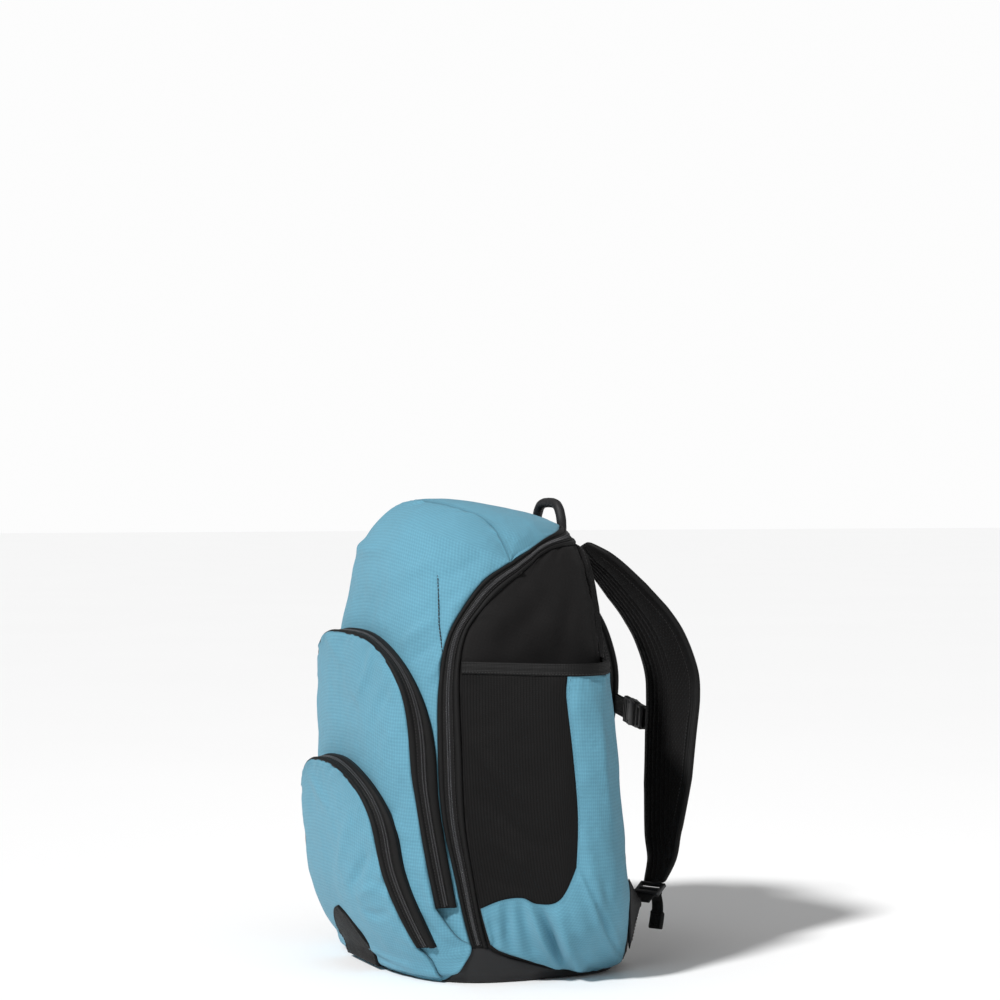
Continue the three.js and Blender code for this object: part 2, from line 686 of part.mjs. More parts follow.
function makeStrapFoot() {
  const foot = strapPoint(strapRoute.at(-1));
  const wingTip = new THREE.Vector3(0.79 * bagWidth / 2, backLine + 0.36 * strapReach, 0.14 * bagHeight);
  const down = wingTip.clone().sub(foot).normalize();
  const wide = new THREE.Vector3(0, 0, 1).cross(down).normalize();
  const thick = down.clone().cross(wide);
  const place = (distance, depth, width) => ({
    centre: foot.clone().addScaledVector(down, distance), wide, thick, width, depth,
  });
  const lockStart = 5 * hardwareGap;
  const lockEnd = lockStart + adjusterLength;
  const lockWidth = 1.4 * webbingWidth;
  addPair('strap_adjuster', 'plastic', bar(
    [lockStart, lockEnd].map((distance) => place(distance, adjusterThickness, lockWidth)),
    flatOutline,
  ));
  const reach = wingTip.distanceTo(foot) - 3 * hardwareGap;
  addPair('strap_webbing', 'webbing', bar(
    [lockEnd + hardwareGap, reach].map((distance) => place(distance, webbingThickness, webbingWidth)),
    flatOutline,
  ));
  const tailTop = place((lockStart + lockEnd) / 2, 0, 0).centre
    .addScaledVector(thick, -(adjusterThickness + webbingThickness) / 2 - hardwareGap);
  const away = thick.clone().negate();
  const drop = (out, fall) => (
    tailTop.clone().add(new THREE.Vector3(away.x * out, Math.abs(away.y) * out, -fall))
  );
  const tailPath = [tailTop, drop(9, 0), drop(18, 9), drop(19, 22), drop(13, 36)];
  const tail = frames(tailPath, [webbingWidth, webbingWidth], [2, 2], webbingThickness, 10);
  tail.slice(-3).forEach((frame) => Object.assign(frame, { depth: tailFoldThickness }));
  addPair('strap_tail', 'webbing', bar(tail, flatOutline));
  const [rootLow, rootHigh] = wingRoot.levels.map((level) => onBag(wingRoot.angle, level, wingRoot.out));
  const corners = [rootLow, rootHigh, wingTip];
  const side = rootHigh.clone().sub(rootLow).cross(wingTip.clone().sub(rootLow)).normalize();
  const wing = [-0.5, 0.5].map((half) => corners.map((corner) => (
    corner.clone().addScaledVector(side, half * wingThickness)
  )));
  addPair('strap_wing', 'coatedCloth', solid(wing.flat(), [
    [0, 1, 2], [3, 5, 4], [0, 3, 4], [0, 4, 1], [1, 4, 5], [1, 5, 2], [2, 5, 3], [2, 3, 0],
  ]));
}

// The inner edge of the near shoulder strap at a height above the base
function strapInnerEdge(height) {
  const edge = strapFrames.map(({ centre, wide, width }) => (
    centre.clone().addScaledVector(wide, -width / 2)
  ));
  const below = edge.findIndex((point) => point.z < height);
  const [high, low] = [edge[below - 1], edge[below]];
  return low.clone().lerp(high, (height - low.z) / (high.z - low.z));
}

// Sternum strap between the inner edges of the two shoulder straps. Its pieces run from the far
// strap to the near one, each up to a share of the way.
const sternumPieces = [
  { name: 'sternum_webbing_far', end: 0.31, width: webbingWidth, depth: webbingThickness },
  { name: 'sternum_adjuster', end: 0.455, width: 1.3 * webbingWidth, depth: adjusterThickness },
  { name: 'sternum_buckle_socket', end: 0.72, width: buckleWidth, depth: buckleThickness },
  { name: 'sternum_buckle_plug', end: 0.91, width: 0.9 * buckleWidth, depth: 0.8 * buckleThickness },
  { name: 'sternum_webbing_near', end: 1, width: webbingWidth, depth: webbingThickness },
];

function makeSternumStrap() {
  // The straps lie nearest each other at the upper side of the webbing
  const end = (height) => strapInnerEdge(height + webbingWidth / 2).setZ(height);
  const drop = sternumSlope * end(sternumHeight).x;
  const far = end(sternumHeight + drop).multiply(new THREE.Vector3(-1, 1, 1));
  const line = end(sternumHeight - drop).sub(far);
  const length = line.length() - 7 * hardwareGap; // the near strap leans over the webbing's end
  const run = line.normalize();
  const thick = new THREE.Vector3(0, 1, 0).projectOnPlane(run).normalize();
  const wide = run.clone().cross(thick);
  let start = 0;
  for (const { name, end: share, width, depth } of sternumPieces) {
    const ends = [start * length + hardwareGap / 2, share * length - hardwareGap / 2];
    const finish = name.includes('webbing') ? 'webbing' : 'plastic';
    add(name, finish, bar(ends.map((distance) => ({
      centre: far.clone().addScaledVector(run, hardwareGap + distance), wide, thick, width, depth,
    })), flatOutline));
    start = share;
  }
}

// Zip sliders, each a small block over the coil with a flat pull, parked on the far side
const sliderPull = { width: 0.7, thickness: 0.4 }; // shares of the slider's own
function addSlider(name, start, end, face) {
  const tape = (angle, level) => onBag(angle, level, face(angle, level));
  const thick = outward(tape, -start[0], start[1]);
  const origin = tape(-start[0], start[1])
    .addScaledVector(thick, zipCoilHeight + 2 * hardwareGap + sliderThickness / 2);
  const along = tape(-end[0], end[1]).sub(tape(-start[0], start[1])).projectOnPlane(thick).normalize();
  const wide = along.clone().cross(thick);
  const frame = (distance, width, depth) => ({
    centre: origin.clone().addScaledVector(along, distance), wide, thick, width, depth,
  });
  const pull = [sliderWidth * sliderPull.width, sliderThickness * sliderPull.thickness];
  add(name, 'metal', bar([
    frame(0, sliderWidth, sliderThickness),
    frame(sliderLength, sliderWidth, sliderThickness),
    frame(sliderLength + hardwareGap, ...pull),
    frame(sliderLength + pullLength, ...pull),
  ], flatOutline));
}

function makeSliders() {
  const middle = (first, second, share) => [0, 1].map((axis) => (
    THREE.MathUtils.lerp(first[axis], second[axis], share)
  ));
  const onMain = (index) => middle(zipFrontSide[index], zipRearSide[index], 0.5);
  addSlider('main_zip_slider_upper', onMain(7), onMain(8), () => 0);
  addSlider('main_zip_slider_lower', onMain(6), onMain(5), () => 0);
  const onPocket = (pocket, height) => {
    const legs = [pocket.outer, pocket.inner].map(
      (arch) => arch.half + arch.splay * Math.max(arch.top - arch.arch - height, 0),
    );
    return [middle([legs[0]], [legs[1]], 0.5)[0], levelAt(height)];
  };
  const onUpper = (share) => onPocket(upperPocket, share * bagHeight);
  const onLower = (share) => onPocket(lowerPocket, share * bagHeight);
  addSlider('upper_pocket_slider', onUpper(0.394), onUpper(0.347), upperFace);
  addSlider('lower_pocket_slider', onLower(0.231), onLower(0.197), lowerFace);
}

// Rope handle at the top of the back
function makeHaulLoop() {
  const foot = onBag(180, 9.6);
  const start = foot.z + 2;
  const y = foot.y + 0.4 * haulLoopDiameter;
  const half = haulLoopWidth / 2;
  const path = [
    [-half, 0], [-half, 0.5], [-0.7 * half, 0.9], [0, 1], [0.7 * half, 0.9], [half, 0.5], [half, 0],
  ].map(([x, rise]) => new THREE.Vector3(x, y, start + rise * haulLoopHeight));
  const curve = new THREE.CatmullRomCurve3(path, false, 'centripetal');
  const round = new THREE.Shape().absarc(0, 0, haulLoopDiameter / 2, 0, 2 * Math.PI);
  const rope = new THREE.ExtrudeGeometry(round, { steps: 18, curveSegments: 5, extrudePath: curve });
  add('haul_loop', 'webbing', rope);
}

makeBase();
makeFront();
makeTop();
makeSides();
makeBack();
makeMainZip();
makePockets();
makeScuffPatch();
makeSleeve();
makeStrap();
makeStrapFoot();
makeSternumStrap();
makeSliders();
makeHaulLoop();

export default backpack;
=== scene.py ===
"""A backpack for bats and balls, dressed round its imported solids. Metres in Blender, millimetres in
the tables below. +Z is up, -Y is the front with the pockets, +Y the wearer's side, +X the near side."""

import math

import bpy
import numpy as np
from bpy.props import FloatProperty, FloatVectorProperty, PointerProperty
from bpy.types import Operator, Panel, PropertyGroup
from mathutils import Matrix, Vector


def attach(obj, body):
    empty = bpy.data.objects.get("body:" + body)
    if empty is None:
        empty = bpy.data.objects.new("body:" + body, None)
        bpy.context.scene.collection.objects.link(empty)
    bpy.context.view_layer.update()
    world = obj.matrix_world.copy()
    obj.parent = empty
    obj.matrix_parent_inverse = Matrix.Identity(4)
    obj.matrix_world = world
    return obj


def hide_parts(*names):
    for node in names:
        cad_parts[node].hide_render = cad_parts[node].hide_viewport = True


bl_info = {
    "name": "Bat Backpack",
    "version": (1, 0, 0),
    "blender": (4, 5, 0),
    "location": "View3D > Sidebar > Backpack",
    "description": "Sews the cloth, zips, straps and fittings of a bat backpack round its solids",
    "category": "Add Mesh",
}

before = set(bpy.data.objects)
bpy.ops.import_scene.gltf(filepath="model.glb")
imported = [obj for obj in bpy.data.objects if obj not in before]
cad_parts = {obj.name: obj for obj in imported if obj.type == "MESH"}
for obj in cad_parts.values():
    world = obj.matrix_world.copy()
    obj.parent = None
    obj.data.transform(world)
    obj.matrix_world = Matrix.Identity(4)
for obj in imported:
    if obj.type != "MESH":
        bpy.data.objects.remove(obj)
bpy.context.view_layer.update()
MM = 0.001
FINE = 6  # cells of cloth for each step of a seam
SIDES = ((False, "near"), (True, "far"))
ROUND = np.linspace(0, 2 * np.pi, 25)[:-1]  # the directions round a tube

# The bag's driving sizes
BAG_HEIGHT = 432
BAG_WIDTH = 300
FRONT_DEPTH = 120
BACK_DEPTH = 100
CLOTH_WALL = 2
LAYER_GAP = 0.9
LAYER_STEP = CLOTH_WALL + LAYER_GAP
UPPER_POCKET_DEPTH = 13
LOWER_POCKET_DEPTH = 14
POCKET_SWELL = 5  # more depth at the top of each pocket
ZIP_TAPE_WALL = 1.5
BACK_PAD_THICKNESS = 11
BACK_PAD_EDGE = 3
SLEEVE_BULGE = 57
SLEEVE_TAPER = 90
SLEEVE_MOUTH = 290
SLEEVE_SOLE = 8
SLEEVE_REAR = 136
SLEEVE_FULLNESS = 1.5
BINDING_HEIGHT = 11
HAUL_LOOP_WIDTH = 56
HAUL_LOOP_HEIGHT = 34
HAUL_LOOP_DIAMETER = 9.4
STRAP_WIDTH = 72
STRAP_THICKNESS = 12
STRAP_REACH = 95
WEBBING_WIDTH = 20
WEBBING_THICKNESS = 1.8
ADJUSTER_LENGTH = 16
ADJUSTER_THICKNESS = 4
WING_THICKNESS = 3
STERNUM_HEIGHT = 227
STERNUM_SLOPE = 0.16
BUCKLE_WIDTH = 26
BUCKLE_THICKNESS = 8
SLIDER_LENGTH = 13
SLIDER_WIDTH = 9
SLIDER_THICKNESS = 4
PULL_LENGTH = 21
HARDWARE_GAP = 0.3

# Sections of the bag from the base up: height, half width, front, back, the roundness at the front
# and at the back, and the rise for each millimetre to the front. Lengths are shares.
SECTIONS = np.array([
    (0, 0.467, 0.5, 0.57, 3, 4, 0),
    (0, 0.88, 0.85, 0.88, 3, 4.6, 0),
    (0.012, 0.935, 0.912, 0.96, 3, 5.4, 0),
    (0.046, 0.973, 0.95, 1, 3, 6, 0),
    (0.139, 0.993, 0.983, 1, 3.2, 6, 0),
    (0.301, 1, 1, 0.93, 3.2, 6, 0),
    (0.486, 1, 1, 0.855, 3.2, 5.5, 0),
    (0.66, 0.973, 0.992, 0.79, 3, 5, 0),
    (0.787, 0.92, 0.942, 0.765, 2.8, 4.2, 0),
    (0.889, 0.827, 0.858, 0.745, 2.6, 3.5, 0.04),
    (0.951, 0.68, 0.708, 0.7, 2.4, 3, 0.1),
    (0.981, 0.493, 0.533, 0.6, 2.2, 2.6, 0.16),
    (0.995, 0.267, 0.317, 0.38, 2, 2.2, 0.18),
    (1, 0.007, 0.008, 0.01, 2, 2, 0.18),
])
HEIGHT, WIDTH, FRONT, BACK, BOW, SQUARE, LEAN = range(7)
CROWN = len(SECTIONS) - 1


def smooth(share, a, b, c, d):
    """The value between b and c on a smooth line through four values."""
    bend = 2 * a - 5 * b + 4 * c - d + share * (3 * b - a - 3 * c + d)
    return b + 0.5 * share * (c - a + share * bend)


def column(key, level):
    """One column of the sections read smoothly at a level."""
    level = np.clip(level, 0, CROWN)
    row = np.minimum(np.floor(level).astype(int), CROWN - 1)
    share = level - row
    return smooth(share, *(SECTIONS[np.clip(row + step, 0, CROWN), key] for step in (-1, 0, 1, 2)))


def surface(angle, level):
    """The bag's outer surface at an angle (0 front, 90 near side, 180 back) and a level."""
    angle, level = np.broadcast_arrays(np.radians(angle), np.asarray(level, float))
    side, ahead = np.sin(angle), np.cos(angle)
    power = np.where(ahead > 0, column(BOW, level), column(SQUARE, level))
    reach = (np.abs(side) ** power + np.abs(ahead) ** power) ** (-1 / power)
    depth = np.where(ahead > 0, FRONT_DEPTH * column(FRONT, level), BACK_DEPTH * column(BACK, level))
    y = -depth * ahead * reach
    z = np.maximum(0, BAG_HEIGHT * column(HEIGHT, level)) - column(LEAN, level) * y
    return np.stack([BAG_WIDTH / 2 * column(WIDTH, level) * side * reach, y, z], -1)


def unit(vectors):
    return vectors / np.maximum(np.linalg.norm(vectors, axis=-1, keepdims=True), 1e-9)


def outward(shape, angle, level):
    """The direction straight out of a surface."""
    high, low = np.minimum(level + 0.02, CROWN), np.maximum(level - 0.02, 0)
    turn = shape(angle + 0.5, level) - shape(angle - 0.5, level)
    return unit(np.cross(turn, shape(angle, high) - shape(angle, low)))


def on_bag(angle, level, out=0.0):
    angle, level = np.asarray(angle, float), np.asarray(level, float)
    return surface(angle, level) + outward(surface, angle, level) * np.asarray(out, float)[..., None]


def level_at(height):
    """The level whose section lies at a height above the base."""
    levels = np.linspace(1, CROWN, 3001)
    return np.interp(height, BAG_HEIGHT * column(HEIGHT, levels), levels)


def run_lengths(line):
    """The length of a line from its start to each of its points."""
    return np.concatenate([[0], np.cumsum(np.linalg.norm(np.diff(line, axis=0), axis=1))])


def along(places, count):
    """A smooth line through a few places, in count even steps for each cell of the solids."""
    points = np.array(places, float)
    last = len(points) - 1
    share = np.linspace(0, last, count * FINE + 1)
    row = np.minimum(share.astype(int), last - 1)
    share = (share - row)[:, None]
    return smooth(share, *(points[np.clip(row + step, 0, last)] for step in (-1, 0, 1, 2)))


def onward(*lines):
    """Lines joined end to end."""
    return np.concatenate([line if number == 0 else line[1:] for number, line in enumerate(lines)])


def other_half(line):
    return line * (-1, 1)


def across(half):
    """A line from its far end over the middle to its near end."""
    return np.concatenate([other_half(half)[::-1], half[1:]])


def past_back(line):
    return np.stack([360 - line[:, 0], line[:, 1]], -1)


def round_back(half):
    return np.concatenate([half, past_back(half[:-1])[::-1]])


# Seams of the near half
ZIP_FOOT = (59, 3.45)
ZIP_HEEL = (65.2, 3.43)
FRONT_CORNER = (45.5, 1.25)
BACK_CORNER = (137, 1.95)
CREST_CORNER = (78.5, 8.84)
SHOULDER = (82.5, 8.57)
BACK_TOP = (137, 9.42)
BASE_FRONT = along([(0, 1.25), (24, 1.25), FRONT_CORNER], 8)
BASE_CORNER = along([FRONT_CORNER, (50.5, 2.1), (55.5, 2.93), ZIP_FOOT], 3)
BASE_SIDE = along([ZIP_HEEL, (71, 3.22), (84.5, 2.9), (105.8, 2.2), (124, 1.75), BACK_CORNER], 8)
BASE_BACK = along([BACK_CORNER, (158, 2.1), (180, 2.1)], 5)
ZIP_FRONT_SIDE = along([
    ZIP_FOOT, (54, 4.42), (48.5, 5.3), (47, 6.1), (47.6, 6.8), (51, 7.52), (60, 8.2), (68, 8.56),
    CREST_CORNER,
], 12)
ZIP_FRONT_TOP = along([CREST_CORNER, (97, 9.36), (116, 9.85), (148, 10.6), (180, 10.9)], 13)
ZIP_REAR_SIDE = along([
    ZIP_HEEL, (60.8, 4.42), (57.2, 5.2), (56, 6), (55.5, 6.9), (58.4, 7.55), (66, 8), (73.5, 8.3),
    SHOULDER,
], 12)
ZIP_REAR_TOP = along([SHOULDER, (95, 8.95), (108.5, 9.22), (122, 9.35), BACK_TOP], 8)
ZIP_REAR_BACK = along([BACK_TOP, (158, 9.56), (180, 9.6)], 5)
BACK_EDGE = along([BACK_CORNER, (137, 4), (137, 7), BACK_TOP], 12)
CREST = along([CREST_CORNER, (74.5, 9.47), (69, 10.04), (58, 10.48), (33.5, 10.92), (0, 11.1)], 13)


def patch(bottom, top, left, right):
    """A grid of places filled in from its four edges."""
    s = np.linspace(0, 1, len(bottom))[None, :, None]
    t = np.linspace(0, 1, len(left))[:, None, None]
    rise = (1 - t) * bottom[None] + t * top[None]
    span = (1 - s) * left[:, None] + s * right[:, None]
    low = (1 - s) * bottom[0] + s * bottom[-1]
    high = (1 - s) * top[0] + s * top[-1]
    return rise + span - (1 - t) * low - t * high


def between(first, second, shares):
    """A grid of places between two lines of the same count."""
    shares = np.asarray(shares)[:, None, None]
    return (1 - shares) * first[None] + shares * second[None]


def over_crown(first, second, count):
    """The same over the crown, in straight steps of the plan view."""
    def plan(line):
        turn = np.radians(line[:, 0])
        return ((CROWN - line[:, 1]) * np.stack([np.sin(turn), np.cos(turn)])).T

    flat = between(plan(first), plan(second), np.linspace(0, 1, count * FINE + 1))
    return np.stack([
        np.degrees(np.arctan2(flat[..., 0], flat[..., 1])), CROWN - np.linalg.norm(flat, axis=-1),
    ], -1)


EDGE_LINES = (0.1, 0.26, 0.55)  # shares of the outermost cell


def tightened(grid):
    """A grid with finer lines beside its edges, where the cloth rolls into its seam."""
    def lines(first, second):
        return np.stack([first + (second - first) * share for share in EDGE_LINES])

    for _ in range(2):
        grid = np.concatenate([
            grid[:1], lines(grid[0], grid[1]), grid[1:-1], lines(grid[-1], grid[-2])[::-1], grid[-1:],
        ])
        grid = grid.transpose(1, 0, 2)
    return grid


def noise(points, seed=0):
    """Smooth noise from -1 to 1 over points of two or three coordinates."""
    points = np.asarray(points, float)
    cell = np.floor(points).astype(np.int64)
    share = points - cell
    share = share * share * (3 - 2 * share)
    primes = np.array((73856093, 19349663, 83492791))[:points.shape[-1]]
    total = np.zeros(points.shape[:-1])
    for corner in np.ndindex(*(2,) * points.shape[-1]):
        corner = np.array(corner)
        key = ((cell + corner) * primes).sum(-1) + seed * 2654435
        key = ((key ^ (key >> 13)) * 1274126177) & 0x7FFFFFFF
        key = ((key ^ (key >> 11)) * 97531) & 0x7FFFFFFF
        total += (key % 8191 / 4095 - 1) * np.where(corner, share, 1 - share).prod(-1)
    return total


def ripples(points, seed=0):
    return noise(points, seed) + 0.5 * noise(np.asarray(points) * 2.13, seed + 1)


def to_line(points, line):
    """Each point's distance to a polyline and its share of the way along it."""
    flat = points.reshape(-1, 3)
    best = np.full(len(flat), 1e9)
    place = np.zeros(len(flat))
    for number in range(len(line) - 1):
        start, step = line[number], line[number + 1] - line[number]
        share = np.clip((flat - start) @ step / max(step @ step, 1e-9), 0, 1)
        away = np.linalg.norm(flat - start - share[:, None] * step, axis=1)
        nearer = away < best
        best[nearer] = away[nearer]
        place[nearer] = (number + share[nearer]) / (len(line) - 1)
    return best.reshape(points.shape[:-1]), place.reshape(points.shape[:-1])


def sewn(name, points, faces, material, uv=None, edge=None, mirror=False):
    """A mesh piece from points in millimetres, or with mirror the same piece on the far side. uv and
    edge, the distance to the nearest seam, are in millimetres for each point."""
    mesh = bpy.data.meshes.new(name)
    points = np.asarray(points)
    faces = faces.tolist() if isinstance(faces, np.ndarray) else faces
    if mirror:
        points, faces = points * (-1, 1, 1), [face[::-1] for face in faces]
    mesh.from_pydata((points * MM).tolist(), [], faces)
    if uv is not None:
        corners = np.empty(len(mesh.loops), np.int32)
        mesh.loops.foreach_get("vertex_index", corners)
        layer = mesh.uv_layers.new(name="cloth")
        layer.data.foreach_set("uv", (np.asarray(uv)[corners] * MM).astype(np.float32).ravel())
    if edge is not None:
        values = mesh.attributes.new("seam", "FLOAT", "POINT")
        values.data.foreach_set("value", np.asarray(edge, np.float32))
    mesh.polygons.foreach_set("use_smooth", [True] * len(mesh.polygons))
    mesh.update()
    piece = bpy.data.objects.new(name, mesh)
    bpy.context.scene.collection.objects.link(piece)
    piece.data.materials.append(material)
    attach(piece, "root")
    return piece


def grid_faces(rows, columns, start=0, ring=False, flip=False):
    """The quads of a grid of points."""
    row, place = np.meshgrid(np.arange(rows - 1), np.arange(columns if ring else columns - 1),
                             indexing="ij")
    after = (place + 1) % columns
    quads = np.stack([row * columns + place, row * columns + after,
                      (row + 1) * columns + after, (row + 1) * columns + place],
                      -1).reshape(-1, 4) + start
    return quads[:, ::-1] if flip else quads


def shell(outer, inner, ring=False):
    """Points and faces of a closed wall between two grids of points."""
    rows, columns = outer.shape[:2]
    points = np.concatenate([outer.reshape(-1, 3), inner.reshape(-1, 3)])
    skip = rows * columns
    faces = [grid_faces(rows, columns, 0, ring), grid_faces(rows, columns, skip, ring, True)]
    rims = [np.arange(columns), np.arange(columns) + (rows - 1) * columns]
    if not ring:
        rims += [np.arange(rows) * columns, np.arange(rows) * columns + columns - 1]
    for number, rim in enumerate(rims):
        first, second = (rim, np.roll(rim, -1)) if ring else (rim[:-1], rim[1:])
        quads = np.stack([second, first, first + skip, second + skip], -1)
        faces.append(quads if number in (0, 3) else quads[:, ::-1])
    return points, np.concatenate(faces)


def lengths(points):
    """Lengths round and up a grid of points, from its first column and row."""
    u = np.zeros(points.shape[:2])
    v = np.zeros(points.shape[:2])
    u[:, 1:] = np.cumsum(np.linalg.norm(np.diff(points, axis=1), axis=2), axis=1)
    v[1:] = np.cumsum(np.linalg.norm(np.diff(points, axis=0), axis=2), axis=0)
    return u, v


def rolled(distance, radius, depth):
    """How far a cloth edge sinks as it rolls into its seam."""
    share = np.clip(distance / radius, 0, 1)
    return -depth * (1 - np.sqrt(np.clip(1 - (1 - share) ** 2, 0, 1)))


def bare(shape):
    """The surface that a shape's places stand out from."""
    return lambda angle, level: shape(angle, level, np.zeros(np.shape(angle)))


# The cloth's small forms, in millimetres
WRINKLE_SIZE = 34
WRINKLE_EDGE = 8  # wrinkles die out this near to a seam
PUCKER_REACH = 9
PUCKER_PITCH = 9
PUCKER_START = 1.5
LOW_EDGE_PUCKER = 0.35  # share of the pucker at a panel's lower edge


class Cloth:
    """A panel of cloth over a grid of places: its points, its directions out and its lengths.

    A place is an angle round the bag and a level of its sections. face is how far the panel stands
    out from the shape. grooves are the depths of its seams at the left, right, bottom and top. Each
    fold has the places along it, its half width and its height, below 0 for a valley."""

    def __init__(self, grid, face=0.0, shape=on_bag, wall=1.5, grooves=(1.2, 1.2, 1.2, 1.2), roll=2.2,
                 pucker=0.35, wrinkle=0.5, folds=(), seed=0, extra=None):
        t, s = np.meshgrid(*(np.linspace(0, 1, size) for size in grid.shape[:2]), indexing="ij")
        grid = tightened(np.concatenate([grid, s[..., None], t[..., None]], -1))
        self.angle, self.level, self.s, self.t = grid.transpose(2, 0, 1)
        out = face(self.angle, self.level) if callable(face) else np.full(self.angle.shape, float(face))
        self.flat = shape(self.angle, self.level, out)
        self.normal, self.turned = grid_normals(self.flat, outward(bare(shape), self.angle, self.level))
        self.u, self.v = lengths(self.flat)
        self.sides = [self.u, self.u[:, -1:] - self.u, self.v, self.v[-1:] - self.v]
        self.edge = np.minimum.reduce(self.sides)
        rise = np.zeros(out.shape)
        calm = 1 - np.exp(-self.edge / WRINKLE_EDGE)
        rise += wrinkle * calm * ripples(self.flat / WRINKLE_SIZE, seed)
        for number, (distance, where) in enumerate(zip(self.sides, (self.v, self.v, self.u, self.u))):
            way = np.stack([where / PUCKER_PITCH, distance / (4 * PUCKER_PITCH)], -1)
            near = np.exp(-distance / PUCKER_REACH) * (1 - np.exp(-distance / PUCKER_START))
            height = pucker * (LOW_EDGE_PUCKER if number == 2 else 1)
            rise += height * near * ripples(way, seed + 10 + number)
        for line, width, height in folds:
            line = smooth_line(shape, line, face)
            away, share = to_line(self.flat, line)
            rise += height * np.exp(-((away / width) ** 2)) * np.clip(4 * share * (1 - share), 0,
                                                                      1) ** 0.7
        if extra is not None:
            rise += extra(self)
        sink = np.zeros(out.shape)
        for distance, groove in zip(self.sides, grooves):
            sink = np.minimum(sink, rolled(distance, roll * max(groove, 1), groove))
        self.outer = self.flat + self.normal * (rise + sink)[..., None]
        self.inner = self.flat + self.normal * (rise - wall + np.minimum(sink, 0) * 0.9)[..., None]
        for points in (self.outer, self.inner):
            points[..., 2] = np.maximum(points[..., 2], 0.05)

    def make(self, name, material, slot, mirror=False):
        points, faces = shell(self.outer, self.inner)
        faces = faces[:, ::-1] if self.turned else faces
        uv = np.stack([self.u, self.v], -1).reshape(-1, 2)
        uv = np.concatenate([uv, uv])
        edge = np.concatenate([self.edge.ravel(), self.edge.ravel()])
        return sewn(name, points, faces, material, uv, edge, mirror)

    def inset(self, side, distance):
        """Points and directions of a line that runs a distance inside one edge of the panel."""
        points, normals, across_edge = self.outer, self.normal, self.sides[side]
        if side < 2:
            rows = range(points.shape[0])
            pick = [(points[row], normals[row], across_edge[row]) for row in rows]
        else:
            places = range(points.shape[1])
            pick = [(points[:, place], normals[:, place], across_edge[:, place]) for place in places]
        line, out = [], []
        for places, directions, lengths_in in pick:
            order = slice(None) if lengths_in[0] <= lengths_in[-1] else slice(None, None, -1)
            if lengths_in.max() < distance:
                continue
            line.append([np.interp(distance, lengths_in[order],
                                   places[order, axis]) for axis in range(3)])
            out.append([np.interp(distance, lengths_in[order],
                                  directions[order, axis]) for axis in range(3)])
        return np.array(line), unit(np.array(out))


def grid_normals(points, away):
    """Directions out of a grid of points, and whether the grid runs the other way round."""
    normals = unit(np.cross(np.gradient(points, axis=1), np.gradient(points, axis=0)))
    turned = (normals * away).sum() < 0
    return (-normals if turned else normals), turned


def smooth_line(shape, places, face=0.0):
    places = np.array(places, float)
    count = 6 * (len(places) - 1)
    share = np.linspace(0, len(places) - 1, count + 1)
    angle = np.interp(share, range(len(places)), places[:, 0])
    level = np.interp(share, range(len(places)), places[:, 1])
    return shape(angle, level, face(angle, level) if callable(face) else np.full(angle.shape,
                                                                                 float(face)))


def resampled(line, normals, spacing, skip=0.0):
    """Even stations along a line: places, directions out and directions along."""
    reach = run_lengths(line)
    stations = np.arange(skip + spacing / 2, reach[-1] - skip, spacing)
    place = np.stack([np.interp(stations, reach, line[:, axis]) for axis in range(3)], -1)
    out = unit(np.stack([np.interp(stations, reach, normals[:, axis]) for axis in range(3)], -1))
    ahead = np.stack([np.interp(stations + 0.5, reach, line[:, axis])
                      - np.interp(stations - 0.5, reach, line[:, axis]) for axis in range(3)], -1)
    return place, out, unit(ahead)


STITCH_RINGS = ((-0.5, 0.15), (-0.28, 1.0), (0.28, 1.0), (0.5, 0.15))
STITCH_SECTION = ((-1, -0.2), (-0.6, 0.8), (0.6, 0.8), (1, -0.2))


def stitches(lines, length=2.6, spacing=3.3, width=0.55, height=0.42, lift=0.05):
    """Points and faces of rows of thread stitches that lie on a cloth."""
    points, faces = [], []
    for line, normals in lines:
        if len(line) < 2:
            continue
        place, out, ahead = resampled(line, normals, spacing, spacing / 2)
        side = unit(np.cross(ahead, out))
        for centre, up, run, wide in zip(place, out, ahead, side):
            start = len(points)
            for share, size in STITCH_RINGS:
                for x, z in STITCH_SECTION:
                    points.append(centre + run * share * length + wide * x * size * width / 2
                                  + up * (lift + z * size * height))
            faces += (grid_faces(4, 4, start, ring=True)).tolist()
            faces += [list(range(start + 3, start - 1, -1)), list(range(start + 12, start + 16))]
    return np.array(points), faces


def sew_stitches(name, lines, material, slot, mirror=False, **sizes):
    points, faces = stitches(lines, **sizes)
    return sewn(name, points, faces, material, mirror=mirror)


# Front pockets. depth is in millimetres, from and over are the heights where it sets in and is full.
# Each arch is half degrees wide to each side, and wider by splay times the height below its spring.
# Heights are shares of the bag's, and bow is how square the arch is.
UPPER_POCKET = {
    "depth": UPPER_POCKET_DEPTH, "rim": 0.75, "crown": 3, "from": 0.035, "over": 0.255,
    "outer": {"half": 47.4, "top": 0.727, "arch": 0.335, "bow": 2.6, "splay": 29.4},
    "inner": {"half": 40, "top": 0.717, "arch": 0.27, "bow": 3.2, "splay": 27.2},
}
LOWER_POCKET = {
    "depth": LOWER_POCKET_DEPTH, "rim": 0.8, "crown": 3, "from": 0.046, "over": 0.208,
    "outer": {"half": 37, "top": 0.456, "arch": 0.2, "bow": 2.2, "splay": 59},
    "inner": {"half": 31.5, "top": 0.446, "arch": 0.178, "bow": 2.5, "splay": 51.4},
}
SPRING_BLEND = 0.02  # the height over which an arch bends into its splayed legs


def half_arch(arch, height):
    """Half an arch's width in degrees at a height: even above its spring and splayed below it."""
    below = (arch["top"] - arch["arch"] - height) / SPRING_BLEND
    return arch["half"] + arch["splay"] * SPRING_BLEND * np.logaddexp(0, below)


